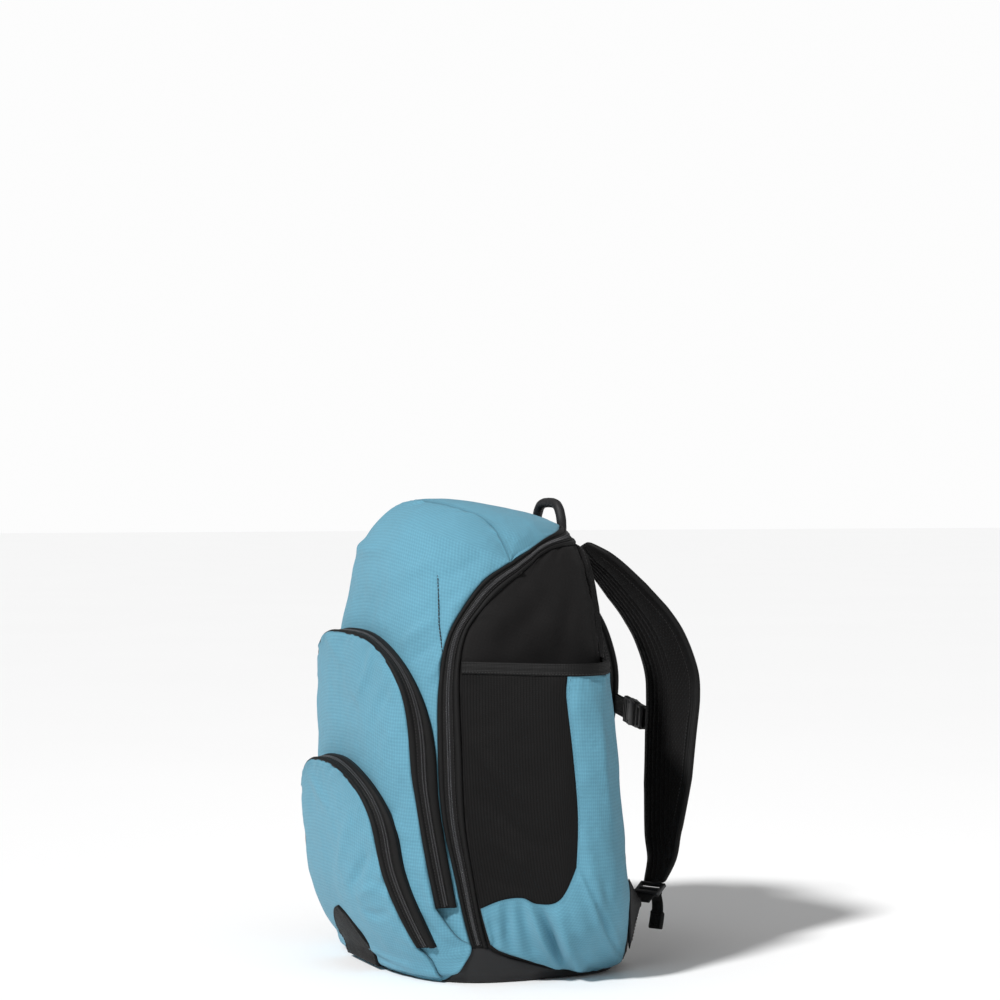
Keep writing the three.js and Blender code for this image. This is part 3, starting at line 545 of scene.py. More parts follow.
def within_arch(arch, angle, height):
    """Below 1 inside an arch, 1 on it and above 1 outside. Heights are shares of the bag's."""
    spring = arch["top"] - arch["arch"]
    rise = np.maximum(height - spring, 0) / arch["arch"]
    aside = np.abs(angle) / half_arch(arch, height)
    return (aside ** arch["bow"] + rise ** arch["bow"]) ** (1 / arch["bow"])


def pocket_rise(pocket, angle, level):
    """How far a pocket stands out from what it is sewn to."""
    height = column(HEIGHT, level)
    inside = np.maximum(1 - within_arch(pocket["outer"], angle, height), 0)
    beyond = within_arch(pocket["inner"], angle, height) - 1
    full = np.clip((height - pocket["from"]) / pocket["over"], 0, 1)
    full = full * (2 - full)
    spring = pocket["outer"]["top"] - pocket["outer"]["arch"]
    up = np.clip((height - spring) / pocket["outer"]["arch"], 0, 1)
    rim = pocket["rim"] + (1 - pocket["rim"]) * up
    depth = (pocket["depth"] + POCKET_SWELL * up) * full
    gusset = rim * inside / np.maximum(inside + beyond, 1e-6)
    face = rim + (1 - rim) * (1 - np.clip(1 + beyond, 0, 1) ** pocket["crown"])
    return np.where(inside <= 0, 0, depth * np.where(beyond > 0, gusset, face))


def upper_face(angle, level):
    return LAYER_STEP + pocket_rise(UPPER_POCKET, angle, level)


def lower_face(angle, level):
    return LAYER_STEP + upper_face(angle, level) + pocket_rise(LOWER_POCKET, angle, level)


ARCH_BEND = 34  # degrees of the arch that its top steps take up
BEND_STEPS = 4
LEG_STEPS = 5


def even(count):
    return np.linspace(0, 1, count * FINE + 1)


def arch_line(arch, foot, top):
    """The near half of an arch, from its top centre down to its foot."""
    spring = arch["top"] - arch["arch"]
    bend = ARCH_BEND + (90 - ARCH_BEND) * even(BEND_STEPS)[1:]
    turns = np.radians(np.concatenate([ARCH_BEND * even(top), bend]))
    height = spring + arch["arch"] * np.abs(np.cos(turns)) ** (2 / arch["bow"])
    angle = half_arch(arch, height) * np.sin(turns) ** (2 / arch["bow"])
    low = spring + (foot - spring) * even(LEG_STEPS)[1:]
    angle = np.concatenate([angle, half_arch(arch, low)])
    height = np.concatenate([height, low])
    return np.stack([angle, level_at(height * BAG_HEIGHT)], -1)


# Cross sections of the zips: share of the way across, and height over the tape
MAIN_ZIP_PROFILE = (
    (0, -1.3), (0.012, 0.1), (0.04, 1.1), (0.09, 1.6), (0.15, 1.5), (0.2, 0.9), (0.225, 0),
    (0.24, -0.5),
    (0.26, 0), (0.3, 0.25), (0.35, 0.3), (0.41, 0.35), (0.47, 0.1), (0.53, 0.35), (0.6, 0.3),
    (0.66, 0.25),
    (0.7, 0), (0.715, -0.6), (0.73, 0.1), (0.755, 1), (0.81, 1.7), (0.89, 1.8), (0.95, 1.1),
    (0.985, 0.1),
    (1, -1.3),
)
POCKET_ZIP_PROFILE = (
    (0, -2.9), (0.015, -1.2), (0.05, 0.3), (0.12, 1), (0.22, 1.3), (0.32, 1), (0.375, 0.2),
    (0.39, -0.4),
    (0.41, 0.1), (0.46, 0.25), (0.52, 0.35), (0.575, 0.1), (0.63, 0.35), (0.7, 0.25), (0.74, 0.1),
    (0.755, -0.4), (0.775, 0.3), (0.82, 1.1), (0.89, 1.4), (0.95, 0.9), (0.985, 0), (1, -1.3),
)
COIL_SECTION = ((-0.5, 0), (-0.32, 0.8), (0, 1), (0.32, 0.8), (0.5, 0))


class Zip:
    """A band of zip between two lines of places, with its tape, its bindings and its coil."""

    def __init__(self, front, rear, face, profile, coil=(0.425, 0.515), stitched=(0.3, 0.665)):
        self.front, self.rear, self.face = front, rear, face
        self.coil_shares, self.stitched = coil, stitched
        shares = [share for share, _ in profile]
        self.heights = np.array([height for _, height in profile])
        grid = between(front, rear, shares)
        out = face(grid[..., 0], grid[..., 1])
        flat = on_bag(grid[..., 0], grid[..., 1], out)
        self.normal, self.turned = grid_normals(flat, outward(surface, grid[..., 0], grid[..., 1]))
        u, v = lengths(flat)
        worn = 0.12 * ripples(flat / 14, 5)
        self.outer = flat + self.normal * (self.heights[:, None] + worn)[..., None]
        self.inner = on_bag(grid[..., 0], grid[..., 1], out - ZIP_TAPE_WALL)
        self.inner += np.minimum(self.heights + 0.4, 0)[:, None, None] * self.normal
        self.uv = np.stack([u, v], -1).reshape(-1, 2)
        self.edge = np.minimum(v, v[-1:] - v)

    def make(self, name, material, slot):
        points, faces = shell(self.outer, self.inner)
        faces = faces[:, ::-1] if self.turned else faces
        uv = np.concatenate([self.uv, self.uv])
        edge = np.concatenate([self.edge.ravel(), self.edge.ravel()])
        return sewn(name, points, faces, material, uv, edge)

    def line(self, share, lift=0.0):
        places = (1 - share) * self.front + share * self.rear
        out = self.face(places[:, 0], places[:, 1])
        points = on_bag(places[:, 0], places[:, 1], out)
        step = (self.rear - self.front) * 0.02
        side = on_bag(places[:, 0] + step[:, 0], places[:, 1] + step[:, 1],
                      self.face(places[:, 0] + step[:, 0], places[:, 1] + step[:, 1])) - points
        out = unit(np.cross(np.gradient(points, axis=0), side))
        away = outward(surface, places[:, 0], places[:, 1])
        out *= np.sign((out * away).sum(-1, keepdims=True))
        return points + out * lift, out

    def coil(self, name, material, slot, pitch, width=2.1, height=1.25):
        points, faces = [], []
        for number, share in enumerate(self.coil_shares):
            place, out, ahead = resampled(*self.line(share, 0.2), pitch, 2)
            place = place + ahead * (pitch / 2 * number)
            side = unit(np.cross(ahead, out))
            for centre, up, run, wide in zip(place, out, ahead, side):
                start = len(points)
                for length in (-0.4, 0, 0.4):
                    full = 1 if length == 0 else 0.62
                    for x, z in COIL_SECTION:
                        points.append(centre + run * length * pitch + wide * x * width
                                      + up * (z * full * height - 0.2))
                faces += grid_faces(3, 5, start, ring=True).tolist()
                faces += [list(range(start + 4, start - 1, -1)), list(range(start + 10, start + 15))]
        return sewn(name, np.array(points), faces, material)

    def thread(self, name, material, slot):
        lines = [self.line(share, 0.32) for share in self.stitched]
        return sew_stitches(name, lines, material, slot, length=2.2, spacing=2.9, width=0.5,
                            height=0.35)


# Shader building blocks
class Graph:
    """A node tree with short ways to add its nodes and link them."""

    def __init__(self, tree):
        self.tree = tree

    def add(self, kind, **settings):
        node = self.tree.nodes.new(kind)
        for key, value in settings.items():
            setattr(node, key, value)
        return node

    def put(self, value, socket):
        if isinstance(value, bpy.types.NodeSocket):
            self.tree.links.new(value, socket)
        else:
            socket.default_value = value

    def math(self, operation, *values, clamp=False):
        node = self.add("ShaderNodeMath", operation=operation, use_clamp=clamp)
        for value, socket in zip(values, node.inputs):
            self.put(value, socket)
        return node.outputs[0]

    def mix(self, share, first, second, blend="MIX"):
        node = self.add("ShaderNodeMix", data_type="RGBA", blend_type=blend)
        for value, socket in zip((share, first, second),
                                 (node.inputs[0], node.inputs[6], node.inputs[7])):
            self.put(value, socket)
        return node.outputs[2]

    def noise(self, vector, scale, detail=2.0, roughness=0.5):
        node = self.add("ShaderNodeTexNoise")
        self.put(vector, node.inputs["Vector"])
        for key, value in (("Scale", scale), ("Detail", detail), ("Roughness", roughness)):
            self.put(value, node.inputs[key])
        return node.outputs[0]

    def ranged(self, value, low, high, to_low=0.0, to_high=1.0):
        node = self.add("ShaderNodeMapRange")
        for item, socket in zip((value, low, high, to_low, to_high), node.inputs):
            self.put(item, socket)
        return node.outputs[0]

    def split(self, vector):
        node = self.add("ShaderNodeSeparateXYZ")
        self.put(vector, node.inputs[0])
        return node.outputs

    def bump(self, height, strength, distance, normal=None):
        node = self.add("ShaderNodeBump")
        for value, key in ((strength, "Strength"), (distance, "Distance"), (height, "Height")):
            self.put(value, node.inputs[key])
        if normal is not None:
            self.put(normal, node.inputs["Normal"])
        return node.outputs[0]


def effect(name, inputs, outputs):
    """An empty node group, with its graph, its input node's sockets and its output node's sockets."""
    tree = bpy.data.node_groups.new(name, "ShaderNodeTree")
    for label, kind, value in inputs:
        socket = tree.interface.new_socket(label, in_out="INPUT", socket_type=kind)
        if value is not None:
            socket.default_value = value
    for label, kind in outputs:
        tree.interface.new_socket(label, in_out="OUTPUT", socket_type=kind)
    graph = Graph(tree)
    return graph, graph.add("NodeGroupInput").outputs, graph.add("NodeGroupOutput").inputs


FLOAT, VECTOR, COLOR = "NodeSocketFloat", "NodeSocketVector", "NodeSocketColor"


def weave_effect():
    """Threads over and under each other, with every few of them thicker."""
    graph, given, result = effect("Woven threads", (
        ("Vector", VECTOR, None), ("Pitch", FLOAT, 0.0014), ("Uneven", FLOAT, 0.3),
        ("Rib", FLOAT, 0.25),
    ), (("Height", FLOAT), ("Shade", FLOAT)))
    drift = graph.noise(given["Vector"], 210, 2)
    x, y, _ = graph.split(given["Vector"])
    wander = graph.math("MULTIPLY", graph.math("SUBTRACT", drift, 0.5), given["Uneven"])
    u = graph.math("ADD", graph.math("DIVIDE", x, given["Pitch"]), wander)
    v = graph.math("ADD", graph.math("DIVIDE", y, given["Pitch"]), wander)
    over = graph.math("MULTIPLY", graph.math("SINE", graph.math("MULTIPLY", u, math.pi)),
                      graph.math("SINE", graph.math("MULTIPLY", v, math.pi)))
    warp = graph.math("ABSOLUTE", graph.math("COSINE", graph.math("MULTIPLY", u, math.pi)))
    weft = graph.math("ABSOLUTE", graph.math("COSINE", graph.math("MULTIPLY", v, math.pi)))
    side = graph.ranged(over, -0.5, 0.5)
    threads = graph.math("ADD", graph.math("MULTIPLY", warp, side),
                         graph.math("MULTIPLY", weft, graph.math("SUBTRACT", 1, side)))
    ribs = graph.math("ADD", graph.math("COSINE", graph.math("MULTIPLY", u, math.pi / 1.5)),
                      graph.math("COSINE", graph.math("MULTIPLY", v, math.pi / 1.5)))
    height = graph.math("ADD", threads, graph.math("MULTIPLY", ribs, given["Rib"]))
    graph.put(height, result["Height"])
    graph.put(graph.ranged(height, 0.2, 1.2), result["Shade"])
    return graph.tree


def knit_effect():
    """Open knitted mesh: small holes in offset rows."""
    graph, given, result = effect("Knitted mesh", (
        ("Vector", VECTOR, None), ("Across", FLOAT, 0.0024), ("Up", FLOAT, 0.003),
        ("Open", FLOAT, 0.45),
    ), (("Height", FLOAT), ("Shade", FLOAT)))
    x, y, _ = graph.split(given["Vector"])
    u = graph.math("COSINE", graph.math("MULTIPLY", graph.math("DIVIDE", x, given["Across"]), math.pi))
    v = graph.math("COSINE", graph.math("MULTIPLY", graph.math("DIVIDE", y, given["Up"]), math.pi))
    hole = graph.ranged(graph.math("MULTIPLY", u, v), given["Open"], 0.9)
    graph.put(graph.math("SUBTRACT", 1, hole), result["Height"])
    graph.put(hole, result["Shade"])
    return graph.tree


def rib_effect():
    """Fine ribs along one way, as on webbing and tape."""
    graph, given, result = effect("Fine ribs", (
        ("Vector", VECTOR, None), ("Pitch", FLOAT, 0.0012), ("Cross pitch", FLOAT, 0.0009),
        ("Cross share", FLOAT, 0.4),
    ), (("Height", FLOAT), ("Shade", FLOAT)))
    x, y, _ = graph.split(given["Vector"])
    u, v = (
        graph.math("ABSOLUTE", graph.math("SINE", graph.math(
            "MULTIPLY", graph.math("DIVIDE", way, given[pitch]), math.pi)))
        for way, pitch in ((x, "Pitch"), (y, "Cross pitch"))
    )
    height = graph.math("ADD", graph.math("MULTIPLY", u,
                                          graph.math("SUBTRACT", 1, given["Cross share"])),
                        graph.math("MULTIPLY", v, given["Cross share"]))
    graph.put(height, result["Height"])
    graph.put(graph.ranged(height, 0.1, 0.9), result["Shade"])
    return graph.tree


def tone_dust_and_seam_shade_effect():
    """Slow changes of tone, dust and painted shade near the seams and a little wear, over an object's own
    coordinates.
    """
    graph, given, result = effect("Handling", (
        ("Vector", VECTOR, None), ("Color", COLOR, None), ("Seam", FLOAT, 0.01), ("Tone", FLOAT, 0.15),
        ("Dark seam", FLOAT, 0.4), ("Roughness", FLOAT, 0.7),
    ), (("Color", COLOR), ("Roughness", FLOAT)))
    slow = graph.noise(given["Vector"], 9, 3, 0.6)
    fine = graph.noise(given["Vector"], 160, 3, 0.6)
    tone = graph.math("ADD", 1, graph.math("MULTIPLY", graph.math("SUBTRACT", slow, 0.5),
                                           given["Tone"]))
    tone = graph.math("ADD", tone, graph.math("MULTIPLY", graph.math("SUBTRACT", fine, 0.5),
                                              graph.math("MULTIPLY", given["Tone"], 0.6)))
    # painted shade: the colour darkens near each seam, standing in for shade in the seam's groove,
    # together with dust
    near = graph.math("MULTIPLY", graph.ranged(given["Seam"], 0.0, 2.2, 1.0, 0.0), given["Dark seam"])
    tone = graph.math("MULTIPLY", tone, graph.math("SUBTRACT", 1, near))
    grey = graph.add("ShaderNodeCombineColor")
    for socket in grey.inputs:
        graph.put(tone, socket)
    graph.put(graph.mix(1.0, given["Color"], grey.outputs[0], "MULTIPLY"), result["Color"])
    rough = given["Roughness"]
    for value, share in ((fine, 0.2), (slow, 0.1)):
        change = graph.math("MULTIPLY", graph.math("SUBTRACT", value, 0.5), share)
        rough = graph.math("ADD", rough, change, clamp=value is slow)
    graph.put(rough, result["Roughness"])
    return graph.tree


def grain_effect():
    """The fine grain of moulded plastic, lacquer and thread."""
    graph, given, result = effect("Fine grain", (
        ("Vector", VECTOR, None), ("Scale", FLOAT, 900.0), ("Roughness", FLOAT, 0.45),
        ("Spread", FLOAT, 0.15),
    ), (("Height", FLOAT), ("Roughness", FLOAT)))
    fine = graph.noise(given["Vector"], given["Scale"], 3, 0.6)
    slow = graph.noise(given["Vector"], graph.math("MULTIPLY", given["Scale"], 0.06), 2, 0.5)
    graph.put(fine, result["Height"])
    both = graph.math("SUBTRACT", graph.math("ADD", fine, slow), 1)
    change = graph.math("MULTIPLY", both, given["Spread"])
    graph.put(graph.math("ADD", given["Roughness"], change, clamp=True), result["Roughness"])
    return graph.tree


EFFECTS = {"weave": weave_effect, "knit": knit_effect, "rib": rib_effect, "handling": tone_dust_and_seam_shade_effect,
           "grain": grain_effect}
made = {}


def effect_node(graph, key, **values):
    """A node group placed in a material with its own values."""
    if key not in made:
        made[key] = EFFECTS[key]()
    node = graph.add("ShaderNodeGroup", node_tree=made[key])
    for label, value in values.items():
        graph.put(value, node.inputs[label.replace("_", " ")])
    return node.outputs


def cloth_material(name, colour, pattern, values, depth=0.00035, contrast=0.35, roughness=0.75,
                   sheen=0.2,
                   tone=0.15, dark_seam=0.4, strength=0.6, specular=0.3, relief=0.0012):
    """A cloth whose pattern follows its threads."""
    material = bpy.data.materials.new(name)
    material.use_nodes = True
    graph = Graph(material.node_tree)
    shader = material.node_tree.nodes["Principled BSDF"]
    uv = graph.add("ShaderNodeUVMap", uv_map="cloth").outputs[0]
    place = graph.add("ShaderNodeTexCoord").outputs["Object"]
    seam = graph.add("ShaderNodeAttribute", attribute_name="seam").outputs["Fac"]
    threads = effect_node(graph, pattern, Vector=uv, **values)
    dark = tuple(channel * (1 - contrast) for channel in colour) + (1,)
    light = tuple(min(channel * (1 + 0.4 * contrast), 1) for channel in colour) + (1,)
    shade = threads["Shade"]
    tint = graph.mix(shade, light, dark) if pattern == "knit" else graph.mix(shade, dark, light)
    # the colour is darkened near the seams: painted shade in the seam grooves, together with dust
    toned_dusted_and_shaded = effect_node(graph, "handling", Vector=place, Color=tint, Seam=seam, Tone=tone,
                          Dark_seam=dark_seam, Roughness=roughness)
    graph.put(toned_dusted_and_shaded["Color"], shader.inputs["Base Color"])
    graph.put(toned_dusted_and_shaded["Roughness"], shader.inputs["Roughness"])
    creases = graph.noise(place, 42, 3, 0.5)
    normal = graph.bump(creases, 0.6, relief)
    graph.put(graph.bump(threads["Height"], strength, depth, normal), shader.inputs["Normal"])
    shader.inputs["Sheen Weight"].default_value = sheen
    shader.inputs["Sheen Roughness"].default_value = 0.5
    shader.inputs["Specular IOR Level"].default_value = specular
    return material


GRAIN_DEPTH = 0.0002


def solid_material(name, colour, roughness, spread=0.15, scale=900.0, metallic=0.0, strength=0.2):
    """Moulded plastic, lacquered metal and thread."""
    material = bpy.data.materials.new(name)
    material.use_nodes = True
    graph = Graph(material.node_tree)
    shader = material.node_tree.nodes["Principled BSDF"]
    place = graph.add("ShaderNodeTexCoord").outputs["Object"]
    grain = effect_node(graph, "grain", Vector=place, Scale=scale, Roughness=roughness, Spread=spread)
    slow = graph.noise(place, 60, 2)
    dark = tuple(channel * 0.8 for channel in colour) + (1,)
    light = tuple(min(channel * 1.25, 1) for channel in colour) + (1,)
    graph.put(graph.mix(slow, dark, light), shader.inputs["Base Color"])
    graph.put(grain["Roughness"], shader.inputs["Roughness"])
    graph.put(graph.bump(grain["Height"], strength, GRAIN_DEPTH), shader.inputs["Normal"])
    shader.inputs["Metallic"].default_value = metallic
    return material


# Each cloth: its name, its colour in the panel, its pattern, the pattern's values and the rest
CLOTHS = {
    "blue cloth": ("Blue twill", "blue_cloth", "weave", {"Rib": 0.12}, {
        "contrast": 0.3, "roughness": 0.8, "sheen": 0.1, "tone": 0.14, "strength": 0.6, "specular": 0.2,
        "relief": 0.004}),
    "black cloth": ("Black twill", "black_cloth", "weave", {"Rib": 0.08}, {
        "contrast": 0.35, "roughness": 0.7, "sheen": 0.02, "tone": 0.35, "specular": 0.14}),
    "coated cloth": ("Coated cloth", "coated_cloth", "weave", {"Pitch": 0.0009, "Rib": 0.05}, {
        "contrast": 0.2, "roughness": 0.5, "sheen": 0.0, "tone": 0.3, "strength": 0.3,
        "specular": 0.25}),
    "scuff cloth": ("Scuff cloth", "mesh", "weave", {"Pitch": 0.0016, "Rib": 0.1}, {
        "contrast": 0.5, "roughness": 0.6, "sheen": 0.0, "tone": 0.3, "specular": 0.15}),
    "sleeve mesh": ("Sleeve mesh", "mesh", "rib",
                    {"Pitch": 0.0028, "Cross pitch": 0.0016, "Cross share": 0.3}, {
        "depth": 0.0006, "contrast": 0.75, "roughness": 0.65, "sheen": 0.02, "tone": 0.4,
        "specular": 0.12}),
    "air mesh": ("Air mesh", "mesh", "knit", {"Across": 0.0022, "Up": 0.0028}, {
        "depth": 0.0009, "contrast": 0.8, "roughness": 0.7, "sheen": 0.03, "tone": 0.25,
        "strength": 0.9,
        "specular": 0.15}),
    "zip tape": ("Zip tape", "tape", "rib",
                 {"Pitch": 0.0012, "Cross pitch": 0.0011, "Cross share": 0.5}, {
        "contrast": 0.4, "roughness": 0.6, "sheen": 0.02, "tone": 0.3, "specular": 0.18}),
    "webbing": ("Webbing", "webbing", "rib",
                {"Pitch": 0.0024, "Cross pitch": 0.0013, "Cross share": 0.45}, {
        "depth": 0.0005, "contrast": 0.45, "roughness": 0.6, "sheen": 0.02, "tone": 0.25,
        "specular": 0.18}),
}
# Each solid finish: its name, its colour in the panel, how bright a share of it, and the rest
SOLIDS = {
    # the coil's colour is the plastic's made 2.4 times brighter: a painted highlight on its turns
    "coil": ("Zip coil", "plastic", 2.4, {"roughness": 0.3, "spread": 0.1}),
    "plastic": ("Moulded plastic", "plastic", 1, {"roughness": 0.42, "strength": 0.3}),
    "metal": ("Black lacquer", "metal", 1, {"roughness": 0.35, "spread": 0.12, "metallic": 0.9}),
    "blue thread": ("Blue thread", "blue_cloth", 0.8,
                    {"roughness": 0.7, "spread": 0.1, "scale": 2500.0}),
    "black thread": ("Black thread", "black_cloth", 1,
                     {"roughness": 0.55, "spread": 0.1, "scale": 2500.0}),
}


def material_of(key):
    """Each finish, made when it is first asked for, from the colours in the panel."""
    if key in made:
        return made[key]
    colours = bpy.context.scene.backpack_colours
    if key in CLOTHS:
        name, colour, pattern, values, rest = CLOTHS[key]
        if pattern == "weave":
            values = {"Pitch": bpy.context.scene.backpack_sizes.thread_pitch, **values}
        made[key] = cloth_material(name, tuple(getattr(colours, colour)), pattern, values, **rest)
    else:
        name, colour, share, rest = SOLIDS[key]
        made[key] = solid_material(name, tuple(share * channel for channel in getattr(colours, colour)),
                                   **rest)
    return made[key]


class BackpackSizes(PropertyGroup):
    thread_pitch: FloatProperty(
        name="Thread pitch", description="Distance between two threads of the cloth", default=0.0011,
        min=0.0003, max=0.005, unit="LENGTH")
    wrinkle: FloatProperty(
        name="Wrinkle", description="Height of the soft wrinkles of the cloth", default=0.0011,
        min=0.0, max=0.003, unit="LENGTH")
    pucker: FloatProperty(
        name="Pucker", description="Height of the puckers beside the seams", default=0.0018,
        min=0.0, max=0.003, unit="LENGTH")
    coil_pitch: FloatProperty(
        name="Coil pitch", description="Distance between two turns of the zips' coil", default=0.0015,
        min=0.0008, max=0.004, unit="LENGTH")
    channel_depth: FloatProperty(
        name="Channel depth", description="Depth of the sewn channels in the padded back",
        default=0.006,
        min=0.0, max=0.009, unit="LENGTH")


class BackpackColours(PropertyGroup):
    blue_cloth: FloatVectorProperty(
        name="Blue cloth", description="Colour of the front, the top and the pockets",
        default=(0.121, 0.322, 0.43), min=0, max=1, subtype="COLOR")
    black_cloth: FloatVectorProperty(
        name="Black cloth", description="Colour of the sides", default=(0.0095, 0.0088, 0.0088),
        min=0, max=1, subtype="COLOR")
    coated_cloth: FloatVectorProperty(
        name="Coated cloth", description="Colour of the base, the scuff patch and the wings",
        default=(0.015, 0.015, 0.016), min=0, max=1, subtype="COLOR")
    mesh: FloatVectorProperty(
        name="Mesh", description="Colour of the sleeves' mesh and the padded back and straps",
        default=(0.0042, 0.0039, 0.0039), min=0, max=1, subtype="COLOR")
    tape: FloatVectorProperty(
        name="Tape", description="Colour of the zips' tape", default=(0.0048, 0.0046, 0.0046),
        min=0, max=1, subtype="COLOR")
    webbing: FloatVectorProperty(
        name="Webbing", description="Colour of the webbing, the binding and the handle",
        default=(0.0045, 0.0043, 0.0043), min=0, max=1, subtype="COLOR")
    plastic: FloatVectorProperty(
        name="Plastic", description="Colour of the buckles, the ladder locks and the coils",
        default=(0.013, 0.013, 0.014), min=0, max=1, subtype="COLOR")
    metal: FloatVectorProperty(
        name="Metal", description="Colour of the zip sliders", default=(0.03, 0.03, 0.032),
        min=0, max=1, subtype="COLOR")


def cloth_sizes(**values):
    """The wrinkle and pucker heights of the panel, in millimetres, with a piece's own values."""
    sizes = bpy.context.scene.backpack_sizes
    return {"wrinkle": sizes.wrinkle / MM, "pucker": sizes.pucker / MM, **values}


class BACKPACK_OT_front(Operator):
    """Sew the blue front of the main compartment and the blue panel behind the dome's seam"""
    bl_idname = "backpack.front"
    bl_label = "Front and Top"
    bl_options = {"REGISTER", "UNDO"}

    def execute(self, context):
        blue, thread = material_of("blue cloth"), material_of("blue thread")
        right = onward(BASE_CORNER, ZIP_FRONT_SIDE, CREST[:5 * FINE + 1])
        top = across(CREST[5 * FINE:][::-1])
        dart = [(45, 8.66), (46.2, 8.09), (47, 7.66), (49, 7.15)]
        folds = [([(-a, l) for a, l in dart] if far else dart, 2.2, -2.0) for far in (False, True)]
        folds += [
            ([(side * 38, 8.95), (side * 44, 8.7), (side * 47, 8.5)], 9, 1.3) for side in (1, -1)
        ] + [
            ([(-40, 8.25), (-10, 8.0), (20, 8.05), (40, 8.35)], 16, -2.4),
            ([(-75, 9.3), (-45, 9.1), (-22, 9.0), (2, 9.0), (22, 9.12)], 7, 3.4),
            ([(50, 8.5), (58, 8.75), (66, 9.0)], 7, -1.8), ([(30, 7.3), (40, 7.6), (46, 7.75)], 5, 3.0),
            ([(33, 7.0), (42, 7.25), (49, 7.45)], 4, -2.6),
            ([(40, 6.75), (46, 6.95), (51, 7.2)], 4, 2.2),
            ([(44, 8.85), (36, 8.65), (26, 8.5)], 6, 2.0), ([(50, 7.9), (56, 8.1), (61, 8.4)], 5, 2.2),
            ([(51, 5.2), (49, 5.6), (47.5, 6.0)], 5, 1.2),
        ]
        front = Cloth(patch(across(BASE_FRONT), top, other_half(right), right),
                      grooves=(1.3, 1.3, 1.2, 1.0),
                      folds=folds, seed=1, **cloth_sizes())
        piece = front.make("front_cloth", blue, "blue_cloth")
        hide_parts("front_panel")
        darts = []
        for far in (False, True):
            line = smooth_line(on_bag, [(-a, l) for a, l in dart] if far else dart, -0.7)
            darts.append((line, unit(line * (1, 1, 0.2))))
        sew_stitches("front_darts", darts, material_of("black thread"), "blue_cloth", length=3.1,
                     spacing=3.3,
                     width=1.1, height=0.7)
        rear = np.concatenate([other_half(ZIP_FRONT_TOP), ZIP_FRONT_TOP[:-1][::-1]])
        top_cloth = Cloth(over_crown(across(CREST[::-1]), rear, 5), grooves=(1.2, 1.2, 1.0, 1.3),
                          seed=3,
                          **cloth_sizes())
        piece = top_cloth.make("top_cloth", blue, "blue_cloth")
        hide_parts("top_panel")
        sew_stitches("crest_stitching", [top_cloth.inset(2, 3.0)], thread, "blue_cloth")
        return {"FINISHED"}


class BACKPACK_OT_sides(Operator):
    """Sew the two black sides behind the main zip"""
    bl_idname = "backpack.sides"
    bl_label = "Sides"
    bl_options = {"REGISTER", "UNDO"}

    def execute(self, context):
        folds = [
            ([(62, 8.0), (75, 7.75), (92, 7.1)], 9, 2.4),
            ([(70, 7.2), (84, 7.7), (100, 8.3)], 11, -2.8),
            ([(84, 8.4), (96, 7.9), (110, 7.2)], 8, 2.2),
            ([(100, 6.9), (112, 7.8), (124, 8.8)], 9, -2.4),
        ]
        side = Cloth(patch(BASE_SIDE, ZIP_REAR_TOP, ZIP_REAR_SIDE, BACK_EDGE), folds=folds, seed=21,
                     **cloth_sizes(wrinkle=1.0))
        for far, name in SIDES:
            piece = side.make("side_cloth_" + name, material_of("black cloth"), "black_cloth", far)
            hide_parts("side_panel_" + name)
        return {"FINISHED"}


class BACKPACK_OT_back(Operator):
    """Make the padded mesh back with its sewn channels"""
    bl_idname = "backpack.back"
    bl_label = "Padded Back"
    bl_options = {"REGISTER", "UNDO"}

    def execute(self, context):
        depth = context.scene.backpack_sizes.channel_depth / MM

        def padding(cloth):
            rise = (BACK_PAD_THICKNESS - BACK_PAD_EDGE) * (1 - np.exp(-((cloth.edge / 13) ** 2)))
            x, z = cloth.flat[..., 0], cloth.flat[..., 2]
            channel = np.exp(-((x / 8) ** 2))
            for height in (118, 196, 274):
                slant = height + 0.12 * np.abs(x)
                channel = np.maximum(channel, 0.8 * np.exp(-(((z - slant) / 5.5) ** 2)))
            return rise - depth * channel * (1 - np.exp(-((cloth.edge / 16) ** 2)))

        grid = patch(round_back(BASE_BACK), round_back(ZIP_REAR_BACK), BACK_EDGE, past_back(BACK_EDGE))
        back = Cloth(grid, BACK_PAD_EDGE - 1, grooves=(2, 2, 2, 2), extra=padding, seed=31,
                     **cloth_sizes(wrinkle=0.4))
        piece = back.make("back_padding", material_of("air mesh"), "black_mesh")
        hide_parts("back_panel")
        lines = [back.inset(side, 7) for side in range(4)]
        sew_stitches("back_stitching", lines, material_of("black thread"), "black_mesh")
        return {"FINISHED"}


